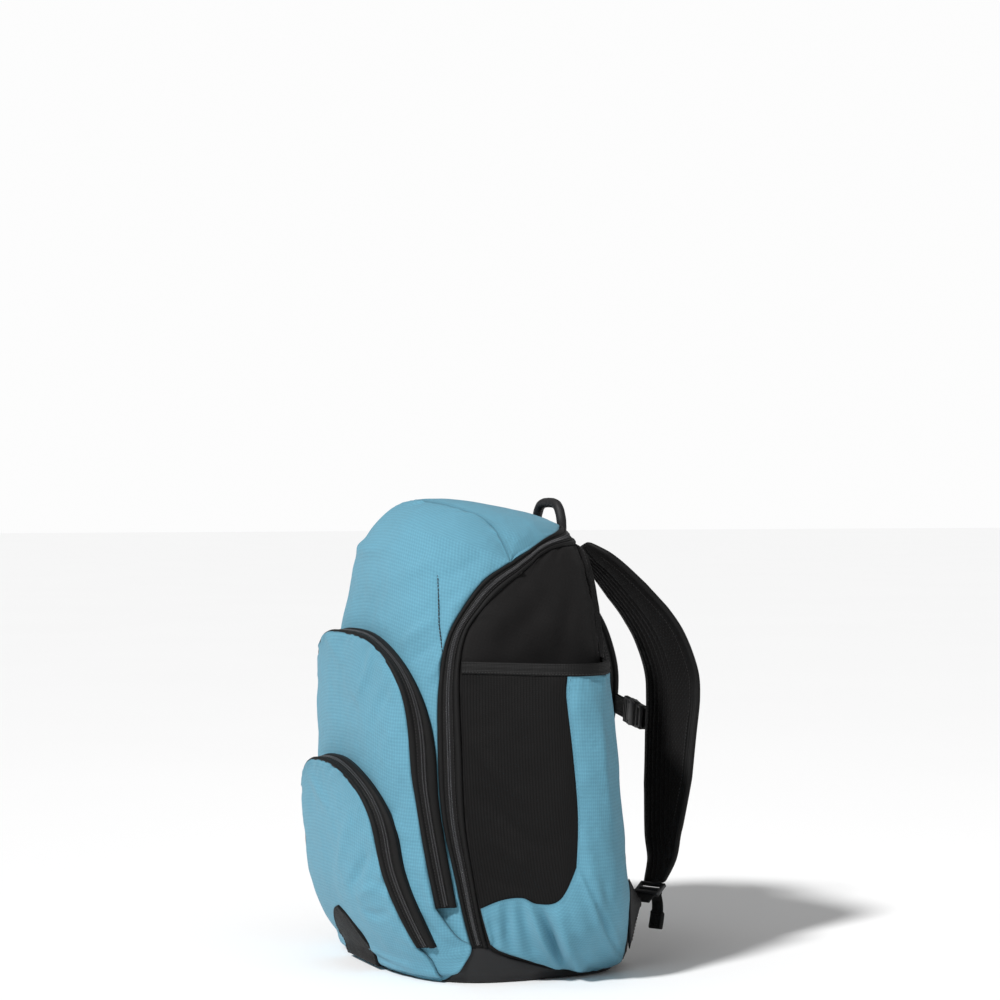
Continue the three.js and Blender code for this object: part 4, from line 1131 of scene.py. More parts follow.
class BACKPACK_OT_base(Operator):
    """Make the coated base that the bag stands on"""
    bl_idname = "backpack.base"
    bl_label = "Base"
    bl_options = {"REGISTER", "UNDO"}

    def execute(self, context):
        heel = between(np.array([ZIP_FOOT]), np.array([ZIP_HEEL]), even(1))[:, 0]
        half = onward(BASE_FRONT, BASE_CORNER, heel, BASE_SIDE, BASE_BACK)
        seam = np.concatenate([half[:-1], past_back(half[1:])[::-1]])
        rings = [np.stack([seam[:, 0], np.full(len(seam), level)], -1) for level in (0, 0.35, 0.7, 0.9,
                                                                                     1)]
        for share in (0.08, 0.16, 0.26, 0.4, 0.55, 0.7, 0.82, 0.9, 0.95, 0.98, 1):
            rings.append(np.stack([seam[:, 0], 1 + share * (seam[:, 1] - 1)], -1))
        grid = np.stack(rings)
        outer = on_bag(grid[..., 0], grid[..., 1])
        outer[0] = (0, 0, 0)
        for row, share in ((1, 0.5), (2, 0.8), (3, 0.93)):
            outer[row] = share * outer[4]
        wall = np.clip(grid[..., 1] - 1, 0, 0.6) / 0.6
        normal = outward(surface, grid[..., 0], np.maximum(grid[..., 1], 1.02))
        u, v = lengths(outer)
        from_top = v[-1:] - v
        rise = wall * 0.5 * ripples(outer / 30, 41) + np.minimum(rolled(from_top, 2.4, 1.2), 0)
        outer = outer + normal * rise[..., None]
        outer[..., 2] = np.maximum(outer[..., 2], 0)
        inner = outer - normal * CLOTH_WALL
        inner[:5] = outer[:5] + (0, 0, CLOTH_WALL)
        inner[..., 2] = np.maximum(inner[..., 2], CLOTH_WALL)
        points, faces = shell(outer[1:], inner[1:], ring=True)
        count = outer.shape[1]
        size = len(points) // 2
        faces = [tuple(face) for face in faces
                 if not (min(face) < count and size <= max(face) < size + count)]
        points = np.concatenate([points, [(0, 0, 0), (0, 0, CLOTH_WALL)]])
        for place in range(count):
            after = (place + 1) % count
            faces += [(after, place, 2 * size), (size + place, size + after, 2 * size + 1)]
        uv = np.stack([u[1:], v[1:]], -1).reshape(-1, 2)
        uv = np.concatenate([uv, uv, [(0, 0), (0, 0)]])
        edge = np.concatenate([from_top[1:].ravel(), from_top[1:].ravel(), [50, 50]])
        piece = sewn("base_cloth", points, faces, material_of("coated cloth"), uv, edge)
        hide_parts("base_panel")
        return {"FINISHED"}


class BACKPACK_OT_main_zip(Operator):
    """Sew in the main zip, with its tape, bindings, double coil and stitching"""
    bl_idname = "backpack.main_zip"
    bl_label = "Main Zip"
    bl_options = {"REGISTER", "UNDO"}

    def execute(self, context):
        pitch = context.scene.backpack_sizes.coil_pitch / MM
        front = round_back(onward(ZIP_FRONT_SIDE, ZIP_FRONT_TOP))
        rear = round_back(onward(ZIP_REAR_SIDE, ZIP_REAR_TOP, ZIP_REAR_BACK))
        zipper = Zip(front, rear, lambda angle, level: np.zeros(angle.shape), MAIN_ZIP_PROFILE)
        piece = zipper.make("main_zip_tape", material_of("zip tape"), "zip_tape")
        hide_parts("main_zip")
        zipper.coil("main_zip_coil", material_of("coil"), "zip_tape", pitch)
        zipper.thread("main_zip_stitching", material_of("black thread"), "zip_tape")
        return {"FINISHED"}


POCKET_FOOT = 2.15


def pocket(name, face, shape, foot, places, seam, steps, folds, seed, pitch):
    """A front pocket and the zip round its arch."""
    inner = arch_line(shape["inner"], foot, steps)
    outer = arch_line(shape["outer"], foot, steps)
    base = along(places, steps)
    right = onward(along([*seam, tuple(inner[-1])], 4), inner[steps * FINE:][::-1])
    cloth = Cloth(patch(across(base), across(inner[:steps * FINE + 1]), other_half(right), right), face,
                  grooves=(1.4, 1.4, 3.0, 1.3), folds=folds, seed=seed, **cloth_sizes())
    piece = cloth.make(name + "_cloth", material_of("blue cloth"), "blue_cloth")
    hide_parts(name)
    zipper = Zip(across(outer), across(inner), face, POCKET_ZIP_PROFILE, (0.47, 0.575), (0.435, 0.72))
    piece = zipper.make(name + "_zip_tape", material_of("zip tape"), "zip_tape")
    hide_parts(name + "_zip")
    zipper.coil(name + "_zip_coil", material_of("coil"), "zip_tape", pitch, width=1.5, height=1.0)
    zipper.thread(name + "_zip_stitching", material_of("black thread"), "zip_tape")


class BACKPACK_OT_pockets(Operator):
    """Sew on the two front pockets with their arched zips"""
    bl_idname = "backpack.pockets"
    bl_label = "Front Pockets"
    bl_options = {"REGISTER", "UNDO"}

    def execute(self, context):
        pitch = context.scene.backpack_sizes.coil_pitch / MM
        corner = (53, POCKET_FOOT + 0.3)
        pocket("upper_pocket", upper_face, UPPER_POCKET, 0.164,
               [(0, POCKET_FOOT), (25, POCKET_FOOT), (47, POCKET_FOOT), corner],
               [corner, (56, 2.95), ZIP_FOOT, (54, 3.7)], 7, [
                   ([(-22, 7.5), (-10, 7.2), (2, 6.9)], 7, 1.8),
                   ([(26, 7.25), (22, 6.9), (14, 6.5)], 5, 2.4),
                   ([(34, 6.8), (29, 6.5), (23, 6.2)], 5, -2.2),
                   ([(36, 6.2), (30, 6.0), (25, 5.9)], 4, 1.8),
                   ([(38, 5.5), (30, 5.2), (20, 5.4)], 7, -1.8),
                   ([(50, 3.9), (46, 4.3), (43, 4.8)], 5, 2.0),
                   ([(42, 5.0), (36, 5.1), (30, 5.3)], 4, 1.6),
                   ([(54, 3.4), (47, 3.7), (42, 4.1)], 4, -2.0)], 51, pitch)
        pocket("lower_pocket", lower_face, LOWER_POCKET, 0.083,
               [(0, POCKET_FOOT), (24, POCKET_FOOT), (47.5, POCKET_FOOT)],
               [(47.5, POCKET_FOOT), (46, 2.6), (44.5, 3.1)], 6, [
                   ([(-18, 5.6), (-8, 5.45), (4, 5.2)], 6, 2.0),
                   ([(22, 5.2), (15, 4.9), (9, 4.5)], 7, 2.6),
                   ([(29, 4.85), (24, 4.6), (16, 4.3)], 5, -3.0),
                   ([(33, 4.45), (26, 4.35), (20, 4.2)], 4, 2.4),
                   ([(35, 4.1), (28, 4.0), (22, 4.05)], 4, -2.2),
                   ([(4, 3.3), (20, 2.9), (40, 2.55)], 6, 2.4),
                   ([(12, 2.9), (26, 2.65), (42, 2.35)], 4, -2.2)], 61, pitch)
        return {"FINISHED"}


class BACKPACK_OT_scuff_patch(Operator):
    """Sew the black scuff patch on the foot of the lower pocket"""
    bl_idname = "backpack.scuff_patch"
    bl_label = "Scuff Patch"
    bl_options = {"REGISTER", "UNDO"}

    def execute(self, context):
        half = 15.5
        side = along([(half, POCKET_FOOT), (half, 2.6), (14.5, 3.2)], 5)
        top = across(along([(0, 3.95), (6, 3.85), (11, 3.6), (14.5, 3.2)], 3))
        bottom = across(along([(0, POCKET_FOOT), (half, POCKET_FOOT)], 3))
        cloth = Cloth(patch(bottom, top, other_half(side), side),
                      lambda angle, level: lower_face(angle, level) + LAYER_GAP + 1.2, wall=2.4,
                      grooves=(1.6, 1.6, 2.4, 1.6), roll=1.2, seed=71,
                      **cloth_sizes(wrinkle=0.5, pucker=0.3))
        piece = cloth.make("scuff_patch", material_of("scuff cloth"), "coated_cloth")
        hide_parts("front_scuff_patch")
        lines = [cloth.inset(side, 2.6) for side in (0, 1, 3)]
        sew_stitches("scuff_patch_stitching", lines, material_of("black thread"), "coated_cloth")
        return {"FINISHED"}


def zip_heel_angle(level):
    return np.interp(level, ZIP_REAR_SIDE[:, 1], ZIP_REAR_SIDE[:, 0])


def sleeve_shape(angle, level):
    """The sleeve's cloth: it leaves the side at the zip, swells round the bat and comes back."""
    points = surface(angle, level)
    front = surface(zip_heel_angle(level), level)[..., 1]
    rear = surface(np.full(np.shape(level), float(SLEEVE_REAR)), level)[..., 1]
    share = np.clip((points[..., 1] - front) / (rear - front), 0, 1)
    full = np.clip((points[..., 2] - SLEEVE_SOLE) / SLEEVE_TAPER, 0, 1)
    points[..., 0] += SLEEVE_BULGE * np.sin(np.pi * share ** SLEEVE_FULLNESS) * full * (2 - full)
    return points


def on_sleeve(angle, level, out):
    angle, level = np.broadcast_arrays(np.asarray(angle, float), np.asarray(level, float))
    return sleeve_shape(angle, level) + outward(sleeve_shape, angle, level) * np.asarray(out,
                                                                                         float)[...,
                                                                                                None]


class BACKPACK_OT_sleeves(Operator):
    """Sew a bat sleeve on each side: mesh, blue panel and elastic binding"""
    bl_idname = "backpack.sleeves"
    bl_label = "Bat Sleeves"
    bl_options = {"REGISTER", "UNDO"}

    def execute(self, context):
        mouth = float(level_at(SLEEVE_MOUTH - BINDING_HEIGHT))
        lip = float(level_at(SLEEVE_MOUTH))

        def front_at(level):
            return (float(zip_heel_angle(level)) + 0.6, level)

        heel, corner, top_corner = front_at(4.16), (95.3, 4.74), (90.5, mouth)
        left = along([heel, front_at(4.9), front_at(5.7), front_at(6.4), front_at(mouth)], 8)
        right = along([corner, (95.5, 5.34), (92.7, 6.04), (89.8, 6.62), top_corner], 8)
        bottom = along([heel, (70, 4.29), (76.6, 4.33), (81.8, 4.26), (89, 4.32), corner], 8)
        top = along([front_at(mouth), (73, mouth), top_corner], 8)
        mesh = Cloth(patch(bottom, top, left, right), LAYER_GAP + 1.2, on_sleeve, 1.2,
                     grooves=(1.6, 0.9, 0.9, 0.6), folds=[
                         ([(64, 5.1), (74, 4.8), (86, 4.5)], 5, 2.4),
                         ([(60, 5.6), (72, 5.2), (84, 4.9)], 6, -2.4),
                         ([(58, 6.2), (68, 5.7), (80, 5.35)], 6, 2.0),
                         ([(62, 4.6), (72, 4.5), (84, 4.4)], 4, -1.6)],
                     seed=81, **cloth_sizes(pucker=0.4))
        rear = along([(SLEEVE_REAR, mouth), (SLEEVE_REAR, 5), (SLEEVE_REAR, 2.6)], 8)
        sole = along([(SLEEVE_REAR, 2.6), (124, 2.1), (105.8, 2.4), (84.5, 3), (71, 3.32), (66.4, 3.5)],
                     8)
        seam = onward(right[::-1], bottom[::-1])

        def gathers(cloth):
            station, share = 16 * cloth.s, cloth.t
            band = np.sin(np.pi * np.clip(share, 0, 1) ** 0.75)
            ridges = 7.5 * np.exp(-(((station - 9.9 - 0.5 * share) / 0.5) ** 2))
            ridges += 7.0 * np.exp(-(((station - 12.0 + 0.7 * share) / 0.42) ** 2))
            valley = -9.0 * np.exp(-(((station - 11.1 - 0.25 * share) / 0.32) ** 2))
            minor = 2.6 * np.sin(station * 5.2 + 2 * share) * np.exp(-(((station - 13.8) / 1.6) ** 2))
            minor += 2.0 * np.sin(station * 6.5 - 3 * share) * np.exp(-(((station - 8.2) / 1.0) ** 2))
            along_mouth = np.exp(-station / 1.5) * (1 - np.exp(-station / 0.08))
            gathered = 3.0 * along_mouth * noise(np.stack([share * 8, station * 0.4], -1), 5)
            return (ridges + valley + minor) * band + gathered

        grid = between(seam, onward(rear, sole), np.linspace(0, 1, 31))
        panel = Cloth(grid, LAYER_GAP + 1.5, on_sleeve, 1.5, grooves=(0.6, 1.6, 0.9, 2.0),
                      extra=gathers,
                      folds=[([(112, 6.6), (110, 5.9), (114, 5.2)], 6, 2.0),
                             ([(124, 6.7), (121, 6.2), (118, 5.6)], 5, -2.0),
                             ([(98, 5.2), (104, 4.6), (114, 3.9)], 6, 2.2),
                             ([(108, 4.6), (112, 3.9), (120, 3.2)], 6, -3.0)],
                      seed=91, **cloth_sizes())
        low = along([front_at(mouth), (74, mouth), (90.5, mouth), (115, mouth), (SLEEVE_REAR, mouth)],
                    16)
        high = np.stack([low[:, 0], np.full(len(low), lip)], -1)

        def ribbed(cloth):
            return 0.35 * np.sin(2.5 * np.pi * np.clip(cloth.v / BINDING_HEIGHT, 0, 1)) ** 2

        binding = Cloth(between(low, high, np.linspace(0, 1, 11)), LAYER_GAP + 2.1, on_sleeve, 2.1,
                        grooves=(1.2, 1.2, 0.8, 1.1), roll=1.3, pucker=0.3, wrinkle=0.2, seed=97,
                        extra=ribbed)
        for far, name in SIDES:
            piece = mesh.make("sleeve_net_" + name, material_of("sleeve mesh"), "black_mesh", far)
            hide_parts("sleeve_mesh_" + name)
            piece = panel.make("sleeve_cloth_" + name, material_of("blue cloth"), "blue_cloth", far)
            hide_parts("sleeve_panel_" + name)
            piece = binding.make("sleeve_elastic_" + name, material_of("webbing"), "webbing", far)
            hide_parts("sleeve_binding_" + name)
            sew_stitches("sleeve_stitching_" + name, [panel.inset(2, 2.6)], material_of("blue thread"),
                         "blue_cloth", far)
            lines = [binding.inset(2, 1.7)]
            sew_stitches("sleeve_binding_stitching_" + name, lines, material_of("black thread"),
                         "webbing", far,
                         length=2.2, spacing=3.0)
        return {"FINISHED"}


# Route of the near shoulder strap from the top of the back to its foot: share of the bag's half
# width, of the strap's reach, of the bag's height and of the strap's width, and degrees of turn
STRAP_ROUTE = np.array([
    (0.333, 0.068, 0.903, 0.86, 4), (0.38, 0.29, 0.861, 0.89, 9), (0.4, 0.526, 0.806, 0.92, 15),
    (0.417, 0.732, 0.752, 0.96, 16), (0.437, 0.874, 0.699, 0.99, 15.5), (0.453, 0.989, 0.623, 1, 15.7),
    (0.46, 1, 0.569, 1, 15), (0.48, 0.958, 0.491, 0.97, 13.5), (0.53, 0.884, 0.387, 0.9, 12.5),
    (0.613, 0.768, 0.28, 0.74, 8), (0.673, 0.705, 0.227, 0.6, 4), (0.72, 0.579, 0.176, 0.45, 2),
])
BACK_LINE = 0.8 * BACK_DEPTH


def curve_points(path, shares):
    """Points of a centripetal curve through a path."""
    path = np.asarray(path, float)
    path = np.concatenate([[2 * path[0] - path[1]], path, [2 * path[-1] - path[-2]]])
    last = len(path) - 3
    place = np.clip(shares, 0, 1) * last
    row = np.minimum(place.astype(int), last - 1)
    share = (place - row)[:, None]
    a, b, c, d = (path[row + step] for step in range(4))
    first, second, third = (
        np.maximum(np.linalg.norm(q - p, axis=1, keepdims=True), 1e-6) ** 0.5 for p,
        q in ((a, b), (b, c), (c, d))
    )
    leave = ((b - a) / first - (c - a) / (first + second) + (c - b) / second) * second
    arrive = ((c - b) / second - (d - b) / (second + third) + (d - c) / third) * second
    return (b + share * leave + share ** 2 * (-3 * b + 3 * c - 2 * leave - arrive)
            + share ** 3 * (2 * b - 2 * c + leave + arrive))


class Sweep:
    """Stations along a path, each with its centre, its directions across and out, and its width."""

    def __init__(self, path, widths, turns, count):
        shares = np.linspace(0, 1, count + 1)
        keys = np.linspace(0, 1, len(widths))
        self.width = np.interp(shares, keys, widths)
        turn = np.radians(np.interp(shares, keys, turns))
        self.centre = curve_points(path, shares)
        step = 0.5 / count
        ahead = unit(curve_points(path, np.minimum(shares + step,
                                                   1)) - curve_points(path,
                                                                      np.maximum(shares - step, 0)))
        wide = np.stack([np.cos(turn), np.sin(turn), np.zeros(len(turn))], -1)
        self.thick = unit(np.cross(ahead, wide))
        self.wide = unit(np.cross(self.thick, ahead))
        self.ahead = ahead
        self.run = run_lengths(self.centre)

    def place(self, across_by, out_by):
        """Points at distances across and out from each station; arrays of stations by points."""
        return (self.centre[:, None] + self.wide[:, None] * across_by[..., None]
                + self.thick[:, None] * out_by[..., None])


def tube_piece(name, rings, material, lengths_along, mirror=False):
    """A closed piece from rings of points, with its ends filled by a middle point."""
    count, sides = rings.shape[:2]
    points = np.concatenate([rings.reshape(-1, 3), [rings[0].mean(0), rings[-1].mean(0)]])
    faces = grid_faces(count, sides, 0, ring=True).tolist()
    total = count * sides
    for side in range(sides):
        after = (side + 1) % sides
        faces += [[after, side, total], [total - sides + side, total - sides + after, total + 1]]
    wedges = np.cross(points[[face[0] for face in faces]], points[[face[1] for face in faces]])
    if (wedges * points[[face[2] for face in faces]]).sum() < 0:
        faces = [face[::-1] for face in faces]
    round_ring = run_lengths(rings[count // 2])
    u, v = np.meshgrid(round_ring - round_ring[-1] / 4, lengths_along)
    uv = np.concatenate([np.stack([u, v], -1).reshape(-1, 2), [(0, 0), (0, lengths_along[-1])]])
    edge = np.full(len(points), 20.0)
    return sewn(name, points, faces, material, uv, edge, mirror)


def strap_sweep(count=150):
    path = np.stack([STRAP_ROUTE[:, 0] * BAG_WIDTH / 2, BACK_LINE + STRAP_ROUTE[:, 1] * STRAP_REACH,
                     STRAP_ROUTE[:, 2] * BAG_HEIGHT], -1)
    return Sweep(path, STRAP_ROUTE[:, 3] * STRAP_WIDTH, STRAP_ROUTE[:, 4], count)


class BACKPACK_OT_straps(Operator):
    """Make the two padded shoulder straps with their bound edges"""
    bl_idname = "backpack.straps"
    bl_label = "Shoulder Straps"
    bl_options = {"REGISTER", "UNDO"}

    def execute(self, context):
        sweep = strap_sweep()
        half = sweep.width[:, None] / 2 * (0.66 + 0.34 * np.clip(sweep.run / 20, 0, 1) ** 0.5)[:, None]
        share = np.concatenate([np.linspace(-1, 1, 49), np.linspace(1, -1, 33)])[None]
        inner_face = np.arange(share.shape[1])[None] < 49
        ends = np.minimum(sweep.run, sweep.run[-1] - sweep.run)[:, None]
        full = 0.45 + 0.55 * np.clip(ends / 22, 0, 1) ** 0.6
        bulge = 1.6 + (STRAP_THICKNESS / 2 - 1.6) * (1 - np.abs(share) ** 4) * full
        across_by = share * (half - 1.2)
        away = across_by + half
        channels = sum(np.exp(-(((away - place) / 1.1) ** 2)) for place in (14, 20.5, 27, 33.5, 40))
        texture = 0.25 * ripples(np.stack([across_by / 22, np.broadcast_to(sweep.run[:, None] / 40,
                                                                           across_by.shape)], -1), 3)
        out_by = np.where(inner_face, bulge - 1.15 * channels * full + texture, -bulge + texture)
        rings = sweep.place(across_by, out_by)
        edge_section = np.array([(-9, 0.9), (-5.5, 1.25), (-2.2, 1.15), (0.2, 0.5), (1.0, 0),
                                 (0.2, -0.5), (-2.2, -1.15),
                                 (-5.5, -1.25), (-9, -0.9), (-8, 0)])
        for far, name in SIDES:
            piece = tube_piece("strap_padding_" + name, rings, material_of("air mesh"),
                               sweep.run, far)
            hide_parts("shoulder_strap_" + name)
            for side, label in ((-1, "inner"), (1, "outer")):
                wide = 1.0 if side < 0 else 1.25
                size = np.interp(np.abs(edge_section[:, 0]), (0, 9),
                                 (2.2, 4.2)) * np.sign(edge_section[:, 1])
                size = np.where(np.abs(edge_section[:, 1]) < 0.01, 0, size)
                reach = side * (half + edge_section[None, :, 0] * wide * 0.75 - 0.6)
                height = size[None] * (0.35 + 0.65 * full) + 0.25 * edge_section[None, :, 1]
                edge_rings = sweep.place(reach, height)
                tube_piece("strap_binding_%s_%s" % (label, name), edge_rings, material_of("webbing"),
                           sweep.run, far)
                seam = sweep.place(side * (half - 6.3 * wide), np.full((len(half), 1), 4.3) * full)[:,
                                                                                                    0]
                sew_stitches("strap_stitching_%s_%s" % (label, name), [(seam, sweep.thick)],
                             material_of("black thread"), "webbing", far, length=2.4, spacing=3.2)
        return {"FINISHED"}


# A flat strip's section with rounded edges, in halves of its width and depth
STRIP_SECTION = np.array([
    (-1, -0.45), (-0.9, -1), (-0.6, -1), (0, -1), (0.6, -1), (0.9, -1), (1, -0.45),
    (1, 0.45), (0.9, 1), (0.6, 1), (0, 1), (-0.6, 1), (-0.9, 1), (-1, 0.45),
])


def strip_rings(sweep, width, depth):
    """Rings of a flat strip along a sweep."""
    section = STRIP_SECTION
    width, depth = np.broadcast_to(width, sweep.run.shape), np.broadcast_to(depth, sweep.run.shape)
    return sweep.place(section[None, :, 0] * width[:, None] / 2,
                       section[None, :, 1] * depth[:, None] / 2)


STRAIGHT_STEPS = 12


def straight(first, last, wide):
    """A sweep along a straight line with a given direction across."""
    sweep = Sweep([first, last], [1, 1], [0, 0], STRAIGHT_STEPS)
    wide = unit(np.asarray(wide, float))
    thick = unit(np.cross(sweep.ahead[0], wide))
    sweep.wide = np.tile(wide, (STRAIGHT_STEPS + 1, 1))
    sweep.thick = np.tile(thick, (STRAIGHT_STEPS + 1, 1))
    return sweep


def moulded(name, boxes, radius, material, origin, wide, ahead, thick, mirror=False):
    """Rounded blocks joined to one moulding and put into place by its own three directions."""
    bpy.ops.object.select_all(action="DESELECT")
    blocks = []
    for low, high, taper in boxes:
        bpy.ops.mesh.primitive_cube_add(size=1)
        block = bpy.context.object
        centre = (Vector(low) + Vector(high)) / 2
        size = Vector(high) - Vector(low)
        for vertex in block.data.vertices:
            share = 1 if vertex.co.y < 0 else taper
            vertex.co = Vector((vertex.co.x * size.x * share, vertex.co.y * size.y,
                                vertex.co.z * size.z)) + centre
        blocks.append(block)
    for block in blocks:
        block.select_set(True)
    bpy.context.view_layer.objects.active = blocks[0]
    if len(blocks) > 1:
        bpy.ops.object.join()
    piece = bpy.context.object
    piece.name = piece.data.name = name
    bevel = piece.modifiers.new("round", "BEVEL")
    bevel.width, bevel.segments, bevel.limit_method = radius, 3, "ANGLE"
    bpy.ops.object.modifier_apply(modifier=bevel.name)
    bpy.ops.object.shade_smooth_by_angle(angle=math.radians(40))
    turn = Matrix((Vector(wide), Vector(ahead), Vector(thick))).transposed().to_4x4()
    place = Matrix.Diagonal((-1 if mirror else 1, 1, 1, 1)) @ Matrix.Translation(Vector(origin)) @ turn
    piece.data.transform(Matrix.Scale(MM, 4) @ place)
    if place.determinant() < 0:
        piece.data.flip_normals()
    piece.data.materials.append(material)
    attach(piece, "root")
    return piece


class BACKPACK_OT_strap_feet(Operator):
    """Make each strap's ladder lock, its webbing, its loose tail and the sewn wing on the bag's corner"""
    bl_idname = "backpack.strap_feet"
    bl_label = "Strap Feet"
    bl_options = {"REGISTER", "UNDO"}

    def execute(self, context):
        foot = np.array([STRAP_ROUTE[-1, 0] * BAG_WIDTH / 2,
                         BACK_LINE + STRAP_ROUTE[-1, 1] * STRAP_REACH,
                         STRAP_ROUTE[-1, 2] * BAG_HEIGHT])
        tip = np.array([0.79 * BAG_WIDTH / 2, BACK_LINE + 0.36 * STRAP_REACH, 0.14 * BAG_HEIGHT])
        down = unit(tip - foot)
        wide = unit(np.cross((0, 0, 1), down))
        thick = np.cross(down, wide)
        start = 5 * HARDWARE_GAP
        end = start + ADJUSTER_LENGTH
        half = 0.7 * WEBBING_WIDTH
        deep = ADJUSTER_THICKNESS / 2
        bars = [((-half, start, -deep), (-half + 3.2, end, deep), 1),
                ((half - 3.2, start, -deep), (half, end, deep), 1)]
        bars += [((-half, low, -deep), (half, high, deep * lift), 1) for low, high, lift in
                 ((start, start + 3.2, 1), (start + 6.2, start + 9.4, 0.6), (end - 4.2, end, 1.25))]
        webbing = straight(foot + down * (end - 5), foot + down * (np.linalg.norm(tip - foot) - 0.9),
                           wide)
        web_rings = strip_rings(webbing, WEBBING_WIDTH, WEBBING_THICKNESS)
        away = -thick
        lift = ADJUSTER_THICKNESS / 2 + WEBBING_THICKNESS / 2 + HARDWARE_GAP
        top = foot + down * (start + end) / 2 + away * lift
        path = [top + np.array((away[0] * out, abs(away[1]) * out, -fall))
                for out, fall in ((0, 0), (9, 0), (18, 9), (19, 22), (13, 36))]
        tail = Sweep(path, [1, 1], [2, 2], 60)
        along_tail = np.linspace(0, 1, 61)
        folded = np.clip((along_tail - 0.7) / 0.03, 0, 1) * np.clip((1.02 - along_tail) / 0.04, 0.3, 1)
        tail_rings = strip_rings(tail, WEBBING_WIDTH + folded, WEBBING_THICKNESS + 2.6 * folded)
        cross_rows = [(tail.place(np.linspace(-8.5, 8.5, 12)[None], np.full((1, 1), side * 2.15))[row],
                       np.tile(tail.thick[row] * side, (12, 1))) for row in (46, 56) for side in (-1,
                                                                                                  1)]
        low, high = on_bag(np.array([135.5, 135.5]), np.array([3.05, 4.4]),
                           np.full(2, BACK_PAD_EDGE + 2 * CLOTH_WALL))
        face = unit(np.cross(high - low, tip - low))
        ring = np.stack([np.sign(np.cos(ROUND)) * np.abs(np.cos(ROUND)) ** 0.5,
                         np.sign(np.sin(ROUND)) * np.abs(np.sin(ROUND)) ** 0.8], -1)
        rings = []
        for share in np.linspace(0, 0.97, 28):
            first, last = low + (tip - low) * share, high + (tip - high) * share
            span = max(np.linalg.norm(last - first), 9)
            puff = 0.5 * WING_THICKNESS * (1 + 0.25 * math.sin(9 * share))
            aside = unit(high - low) * ring[:, :1] * span / 2
            rings.append((first + last) / 2 + aside + face * ring[:, 1:] * puff)
        rings = np.array(rings)
        edges = []
        for bound in (low, high):
            shares = np.linspace(0.06, 0.85, 30)[:, None]
            middle = (low + high) / 2
            line = bound + (tip - bound) * shares
            line = line + unit((middle + (tip - middle) * shares) - line) * 3.2
            edges += [(line + face * side * 1.42, np.tile(face * side, (30, 1))) for side in (-1, 1)]
        for far, name in SIDES:
            piece = moulded("strap_ladder_lock_" + name, bars, 0.9, material_of("plastic"),
                            foot, wide, down,
                            thick, far)
            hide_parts("strap_adjuster_" + name)
            piece = tube_piece("strap_web_" + name, web_rings, material_of("webbing"),
                               webbing.run, far)
            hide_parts("strap_webbing_" + name)
            piece = tube_piece("strap_tail_web_" + name, tail_rings, material_of("webbing"),
                               tail.run, far)
            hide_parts("strap_tail_" + name)
            sew_stitches("strap_tail_stitching_" + name, cross_rows, material_of("black thread"),
                         "webbing", far)
            piece = tube_piece("strap_wing_cloth_" + name, rings, material_of("coated cloth"),
                               np.linspace(0, 45, 28), far)
            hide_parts("strap_wing_" + name)
            sew_stitches("strap_wing_stitching_" + name, edges, material_of("black thread"),
                         "coated_cloth", far)
        return {"FINISHED"}


def strap_inner_edge(height):
    """The inner edge of the near shoulder strap at a height above the base."""
    sweep = strap_sweep(20)
    edge = sweep.centre - sweep.wide * sweep.width[:, None] / 2
    order = np.argsort(edge[:, 2])
    return np.array([np.interp(height, edge[order, 2], edge[order, axis]) for axis in range(3)])


